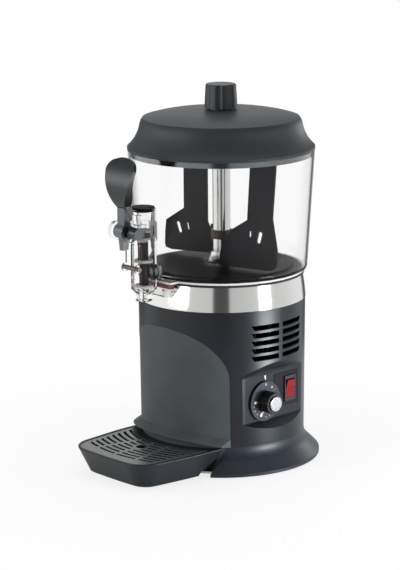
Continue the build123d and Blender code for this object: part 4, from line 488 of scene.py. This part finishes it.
tap_clear, tap_tree, tap_shader, tap_place = clear("tap_polycarbonate", ior=1.16, roughness=0.04)
tap_y = split(tap_tree, tap_place)[1]
spigot_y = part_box("tap_body")[1].y - SPIGOT_L
tap_clearness = between(tap_tree, tap_y, 1.0, SPIGOT_CLEARNESS, spigot_y, spigot_y + COLOUR_EDGE)
tap_tree.links.new(tap_clearness, tap_shader.inputs["Transmission Weight"])
cap_plastic = moulded("tap_cap_plastic", (0.009, 0.010, 0.013), 0.50, specular=0.08, depth=FINE_RELIEF)
piston_plastic, piston_tree, piston_shader, piston_place = finish("piston_plastic", PISTON_RED, 0.45,
                                                                  specular=0.3)
piston_z = split(piston_tree, piston_place)[2]
piston_head = between(piston_tree, piston_z, 0.0, 1.0, PISTON_HEAD_Z, PISTON_HEAD_Z + COLOUR_EDGE)
piston_colour = two_tone(piston_tree, piston_head, PISTON_RED, PISTON_PALE)
piston_tree.links.new(piston_colour, piston_shader.inputs["Base Color"])
relief(piston_tree, piston_shader, patches(piston_tree, piston_place, MOULD_GRAIN), FINE_RELIEF)
put_on(tap_clear, "tap_body")
put_on(cap_plastic, "tap_cap")
put_on(piston_plastic, "tap_piston")
put_on(rubber("ring_rubber", (0.80, 0.79, 0.78), 0.5), "piston_seals")

# Lever. A grey-black stem with a hub and tail, turning on a black-headed pin between the tap's ears, with a
# satin spoon-shaped grip; the brown pin below stops its stroke. Light and shade are painted on according to
# the way the faces turn: the stem's front is lighter and its sides are darker, the grip's sides are near
# black, and the pin's end face is lighter as a painted highlight.


def facing_side(tree, axis):
    """The share of a surface's normal along X, Y or Z, numbered 0, 1 or 2."""
    return split(tree, tree.nodes.new("ShaderNodeNewGeometry").outputs["Normal"])[axis]


def painted_side_light(name, fore, flank, span, roughness, specular=0.5):
    """Moulded plastic with painted light and shade: faces towards the left and right (the share of their
    normal along X in the span) have the second colour and the other faces the first, so that one side is
    painted lit and the other is painted in shade."""
    made, tree, shader, place = finish(name, fore, roughness, specular=specular)
    sideways = between(tree, worked(tree, "ABSOLUTE", facing_side(tree, 0)), 0.0, 1.0, *span)
    tree.links.new(two_tone(tree, sideways, fore, flank), shader.inputs["Base Color"])
    relief(tree, shader, patches(tree, place, per_metre=1600.0), FINE_RELIEF)
    return made


# painted light and shade: the stem's front is painted lighter and its sides darker
lever_plastic = painted_side_light("lever_plastic", fore=(0.085, 0.097, 0.100), flank=(0.016, 0.018, 0.022),
                          span=(0.45, 0.75), roughness=0.38)
# painted shade: the grip's sides are painted near black
grip_painted_side_shade = painted_side_light("grip_painted_side_shade", fore=(0.013, 0.0158, 0.0168), flank=(0.002, 0.002, 0.003),
                         span=(0.40, 0.65), roughness=0.32, specular=0.34)
# painted highlight: the pin's end face is painted lighter than its dark barrel
pivot_painted_end_highlight = painted_side_light("pivot_painted_end_highlight", fore=(0.006, 0.007, 0.009), flank=(0.040, 0.050, 0.060),
                          span=(0.90, 0.98), roughness=0.30)
put_on(lever_plastic, "tap_lever")
put_on(grip_painted_side_shade, "lever_grip")
put_on(pivot_painted_end_highlight, "pivot_pin")
put_on(brown_plastic, "stop_pin")

# Lid. A deep charcoal cover with a raised matt top, a bright collar below its edge, and a fluted knob that
# is screwed on from below.
RIM_Z = 0.3978
LID_GREY = (0.034, 0.039, 0.043)
COLLAR_BRIGHT = (0.22, 0.235, 0.245)
LID_MATT = 0.46
COLLAR_GLOSS = 0.15

lid_plastic, lid_tree, lid_shader, lid_place = finish("lid_plastic", LID_GREY, LID_MATT, specular=0.2)
lid_z = split(lid_tree, lid_place)[2]
collar = between(lid_tree, lid_z, 1.0, 0.0, RIM_Z - COLOUR_EDGE, RIM_Z + COLOUR_EDGE)
lid_tree.links.new(two_tone(lid_tree, collar, LID_GREY, COLLAR_BRIGHT), lid_shader.inputs["Base Color"])
lid_tree.links.new(collar, lid_shader.inputs["Metallic"])
lid_gloss = between(lid_tree, collar, LID_MATT, COLLAR_GLOSS, 0.0, 1.0)
lid_tree.links.new(lid_gloss, lid_shader.inputs["Roughness"])
relief(lid_tree, lid_shader, patches(lid_tree, lid_place, MOULD_GRAIN), depth=0.00002)
knob_plastic = moulded("lid_knob_plastic", (0.022, 0.025, 0.029), 0.42, specular=0.3, depth=FINE_RELIEF)
put_on(lid_plastic, "lid")
put_on(knob_plastic, "lid_knob")
put_on(zinc, "lid_screw")

# Drip tray. A charcoal drawer that slides under the drum, with a lift-out grille over its well; the grille
# is smooth on top and rough in its slots, whose walls are painted near black, a painted shade.
GRILLE_GREY = (0.075, 0.083, 0.083)
GRILLE_SLOT_PAINTED_SHADE = (0.002, 0.002, 0.003)
GRILLE_GLOSS = 0.30
GRILLE_ROUGH = 0.8
TOP_SPAN = (0.4, 0.6)

grille_plastic, grille_tree, grille_shader, grille_place = finish("grille_plastic", GRILLE_GREY,
                                                                  GRILLE_GLOSS, specular=0.6)
upward = facing_side(grille_tree, 2)
grille_top = between(grille_tree, upward, 0.0, 1.0, *TOP_SPAN)
# painted shade: faces that do not face up, the walls of the slots, are painted near black
grille_colour_with_slot_shade = two_tone(grille_tree, grille_top, GRILLE_SLOT_PAINTED_SHADE, GRILLE_GREY)
grille_tree.links.new(grille_colour_with_slot_shade, grille_shader.inputs["Base Color"])
grille_gloss = between(grille_tree, upward, GRILLE_ROUGH, GRILLE_GLOSS, *TOP_SPAN)
grille_tree.links.new(grille_gloss, grille_shader.inputs["Roughness"])
relief(grille_tree, grille_shader, patches(grille_tree, grille_place, MOULD_GRAIN), depth=0.00002)
put_on(moulded("tray_plastic", (0.014, 0.017, 0.021), 0.42, specular=0.3), "drip_tray")
put_on(grille_plastic, "drip_grille")

# Table. A round white sheet of paper board; what is seen of it, straight or in gloss, is partly its own
# white, less so close to the machine, where its shadow lies.
TABLE_R = 0.62
TABLE_WHITE = (0.86, 0.86, 0.86)
GLOSS_WHITE = (0.30, 1.0)
GLOSS_SPAN = (0.16, 0.50)
SEEN_WHITE = (0.80, 1.0)
SEEN_SPAN = (0.20, 0.52)

ring = np.linspace(0.0, TABLE_R, 3)[:, None]
turned = np.linspace(0.0, 2 * np.pi, 97)[None, :]
table_points = np.stack([ring * np.cos(turned), ring * np.sin(turned), 0 * ring * turned], axis=2)
floor_white = bpy.data.materials.new("floor_white")
floor_white.use_nodes = True
floor_tree = floor_white.node_tree
floor_tree.nodes.remove(floor_tree.nodes["Principled BSDF"])
paper = floor_tree.nodes.new("ShaderNodeBsdfDiffuse")
paper.inputs["Color"].default_value = (*TABLE_WHITE, 1)
glow = floor_tree.nodes.new("ShaderNodeEmission")
floor_path = floor_tree.nodes.new("ShaderNodeLightPath").outputs
from_middle = length_of(floor_tree, floor_tree.nodes.new("ShaderNodeTexCoord").outputs["Object"])
white_share = floor_tree.nodes.new("ShaderNodeMix")
floor_tree.links.new(floor_path["Is Camera Ray"], white_share.inputs["Factor"])
floor_tree.links.new(between(floor_tree, from_middle, *GLOSS_WHITE, *GLOSS_SPAN), white_share.inputs["A"])
floor_tree.links.new(between(floor_tree, from_middle, *SEEN_WHITE, *SEEN_SPAN), white_share.inputs["B"])
seen = worked(floor_tree, "LESS_THAN", floor_path["Diffuse Depth"], 0.5)
own_white = worked(floor_tree, "MULTIPLY", seen, white_share.outputs["Result"])
floor_mix = floor_tree.nodes.new("ShaderNodeMixShader")
floor_tree.links.new(own_white, floor_mix.inputs["Fac"])
floor_tree.links.new(paper.outputs["BSDF"], floor_mix.inputs[1])
floor_tree.links.new(glow.outputs["Emission"], floor_mix.inputs[2])
floor_tree.links.new(floor_mix.outputs["Shader"], floor_tree.nodes["Material Output"].inputs["Surface"])
sheet_mesh("floor", table_points, floor_white)

# Surround. A white studio: an even light falls on the pieces, and their gloss sees a ring of white screens
# with dark gaps, one of them where the camera stands. Clear plastic sees white straight behind it and grey
# to the sides.
TO_CAMERA = (0.738, -0.675, 0.0)
CAMERA_RIGHT = (0.675, 0.738, 0.0)
UP = (0.0, 0.0, 1.0)
# (bearing from the camera in degrees, positive to its right, and brightness) round the object
STUDIO_RING = ((-180, 1.0), (-170, 0.9), (-160, 0.2), (-140, 0.15), (-128, 0.9), (-118, 1.1), (-85, 1.1),
               (-45, 0.75), (-14, 0.70), (-11, 0.09), (8, 0.09), (11, 0.62), (45, 0.74), (87, 0.78),
               (123, 0.95), (142, 0.95), (150, 0.12), (162, 0.12), (172, 0.95), (180, 1.0))
HIGH_SHARE = 0.22
HIGH_SPAN = (0.10, 0.50)
BEHIND_SPAN = (-0.6, -0.2)
EDGE_SHARE = 0.36
EDGE_SPAN = (-0.75, -0.30)
AMBIENT = 0.45

world = bpy.data.worlds.new("studio")
world.use_nodes = True
bpy.context.scene.world = world
sky = world.node_tree
facing = sky.nodes.new("ShaderNodeTexCoord").outputs["Generated"]


def part_along(direction):
    """How far a sky direction points along the given one, from -1 to 1."""
    dot = sky.nodes.new("ShaderNodeVectorMath")
    dot.operation = "DOT_PRODUCT"
    dot.inputs[1].default_value = direction
    sky.links.new(facing, dot.inputs[0])
    return dot.outputs["Value"]


def grey(level):
    """A grey of that brightness for the ring."""
    return (level, level, level, 1)


front = part_along(TO_CAMERA)
bearing = worked(sky, "ARCTAN2", part_along(CAMERA_RIGHT), front)
ring_ramp = sky.nodes.new("ShaderNodeValToRGB")
stops = ring_ramp.color_ramp.elements
for around_deg, level in STUDIO_RING[1:-1]:
    stops.new((around_deg + 180) / 360).color = grey(level)
stops[0].color = grey(STUDIO_RING[0][1])
stops[-1].color = grey(STUDIO_RING[-1][1])
sky.links.new(worked(sky, "MULTIPLY_ADD", bearing, 0.5 / np.pi, 0.5), ring_ramp.inputs["Fac"])
overhead = between(sky, part_along(UP), 1.0, HIGH_SHARE, *HIGH_SPAN)
behind = between(sky, front, 1.0, 0.0, *BEHIND_SPAN)
mirrored = worked(sky, "MULTIPLY", ring_ramp.outputs["Color"], worked(sky, "MAXIMUM", overhead, behind))
sky_path = sky.nodes.new("ShaderNodeLightPath").outputs
lit = worked(sky, "GREATER_THAN", sky_path["Diffuse Depth"], 0.5)
unlit = worked(sky, "SUBTRACT", 1.0, lit)
mirror = worked(sky, "MULTIPLY", worked(sky, "GREATER_THAN", sky_path["Glossy Depth"], 0.5), unlit)
straight = worked(sky, "SUBTRACT", unlit, mirror)
sides = between(sky, front, 1.0, EDGE_SHARE, *EDGE_SPAN)
through = worked(sky, "MAXIMUM", sides, sky_path["Is Camera Ray"])
in_gloss = worked(sky, "MULTIPLY", mirrored, mirror)
around = worked(sky, "ADD", in_gloss, worked(sky, "MULTIPLY", through, straight))
falling = worked(sky, "MULTIPLY", lit, AMBIENT)
sky.nodes["Background"].inputs["Color"].default_value = (1, 1, 1, 1)
sky.links.new(worked(sky, "ADD", around, falling), sky.nodes["Background"].inputs["Strength"])

# Lamps. Six flat softboxes: one far right and a low bluish strip on the table give the bright strip down the
# drum, two on the left light the panel and the lever, one behind lights the skirt's edge and one hangs
# overhead.
MACHINE_MIDDLE = (0.0, AXIS_Y, 0.24)


def softbox(name, place, aim, size, radiance, tint=(1.0, 1.0, 1.0)):
    """A flat lamp aimed at a point, out of the camera's sight; its power is its radiance times pi times its
    area."""
    lamp = bpy.data.lights.new(name, "AREA")
    lamp.shape = "RECTANGLE"
    lamp.size, lamp.size_y = size
    lamp.energy = radiance * np.pi * size[0] * size[1]
    lamp.color = tint
    stand = bpy.data.objects.new(name, lamp)
    bpy.context.scene.collection.objects.link(stand)
    turn = (Vector(aim) - Vector(place)).to_track_quat("-Z", "Y").to_matrix().to_4x4()
    stand.matrix_world = Matrix.Translation(place) @ turn
    stand.visible_camera = False
    stand.visible_transmission = False


softbox("right_softbox", (1.16, 0.36, 0.30), MACHINE_MIDDLE, (0.36, 0.42), 4.0)
softbox("table_strip", (0.536, 0.189, 0.036), (0.0, AXIS_Y, 0.15), (0.20, 0.075), 66.0, (0.90, 0.95, 1.0))
softbox("left_softbox", (-0.33, -1.36, 0.55), MACHINE_MIDDLE, (0.80, 0.90), 3.6)
softbox("side_softbox", (-0.74, -0.84, 0.56), (0.0, -0.13, 0.36), (0.46, 0.30), 4.0)
softbox("back_softbox", (-0.12, 1.23, 0.40), (0.1, 0.1, 0.05), (0.50, 0.30), 3.0)
softbox("top_softbox", (-0.20, 0.30, 1.80), MACHINE_MIDDLE, (1.40, 1.40), 2.2)

# Camera. A long lens at the machine's right front, looking a little down, with a small sideways shift for
# the framing.
CAMERA_PLACE = (2.0370, -1.8606, 0.8503)
CAMERA_BEARING = 47.0
CAMERA_DOWN = 12.746
CAMERA_ROLL = -0.279

camera = bpy.data.cameras.new("camera")
camera.sensor_width = 36.0
camera.lens = 140.64
camera.shift_x = -0.03818
tripod = bpy.data.objects.new("camera", camera)
bpy.context.scene.collection.objects.link(tripod)
turned_to = Matrix.Rotation(radians(CAMERA_BEARING), 4, "Z")
tilted = Matrix.Rotation(radians(90 - CAMERA_DOWN), 4, "X")
rolled = Matrix.Rotation(radians(CAMERA_ROLL), 4, "Z")
tripod.matrix_world = Matrix.Translation(CAMERA_PLACE) @ turned_to @ tilted @ rolled
bpy.context.scene.camera = tripod
bpy.context.scene.view_settings.view_transform = "Standard"
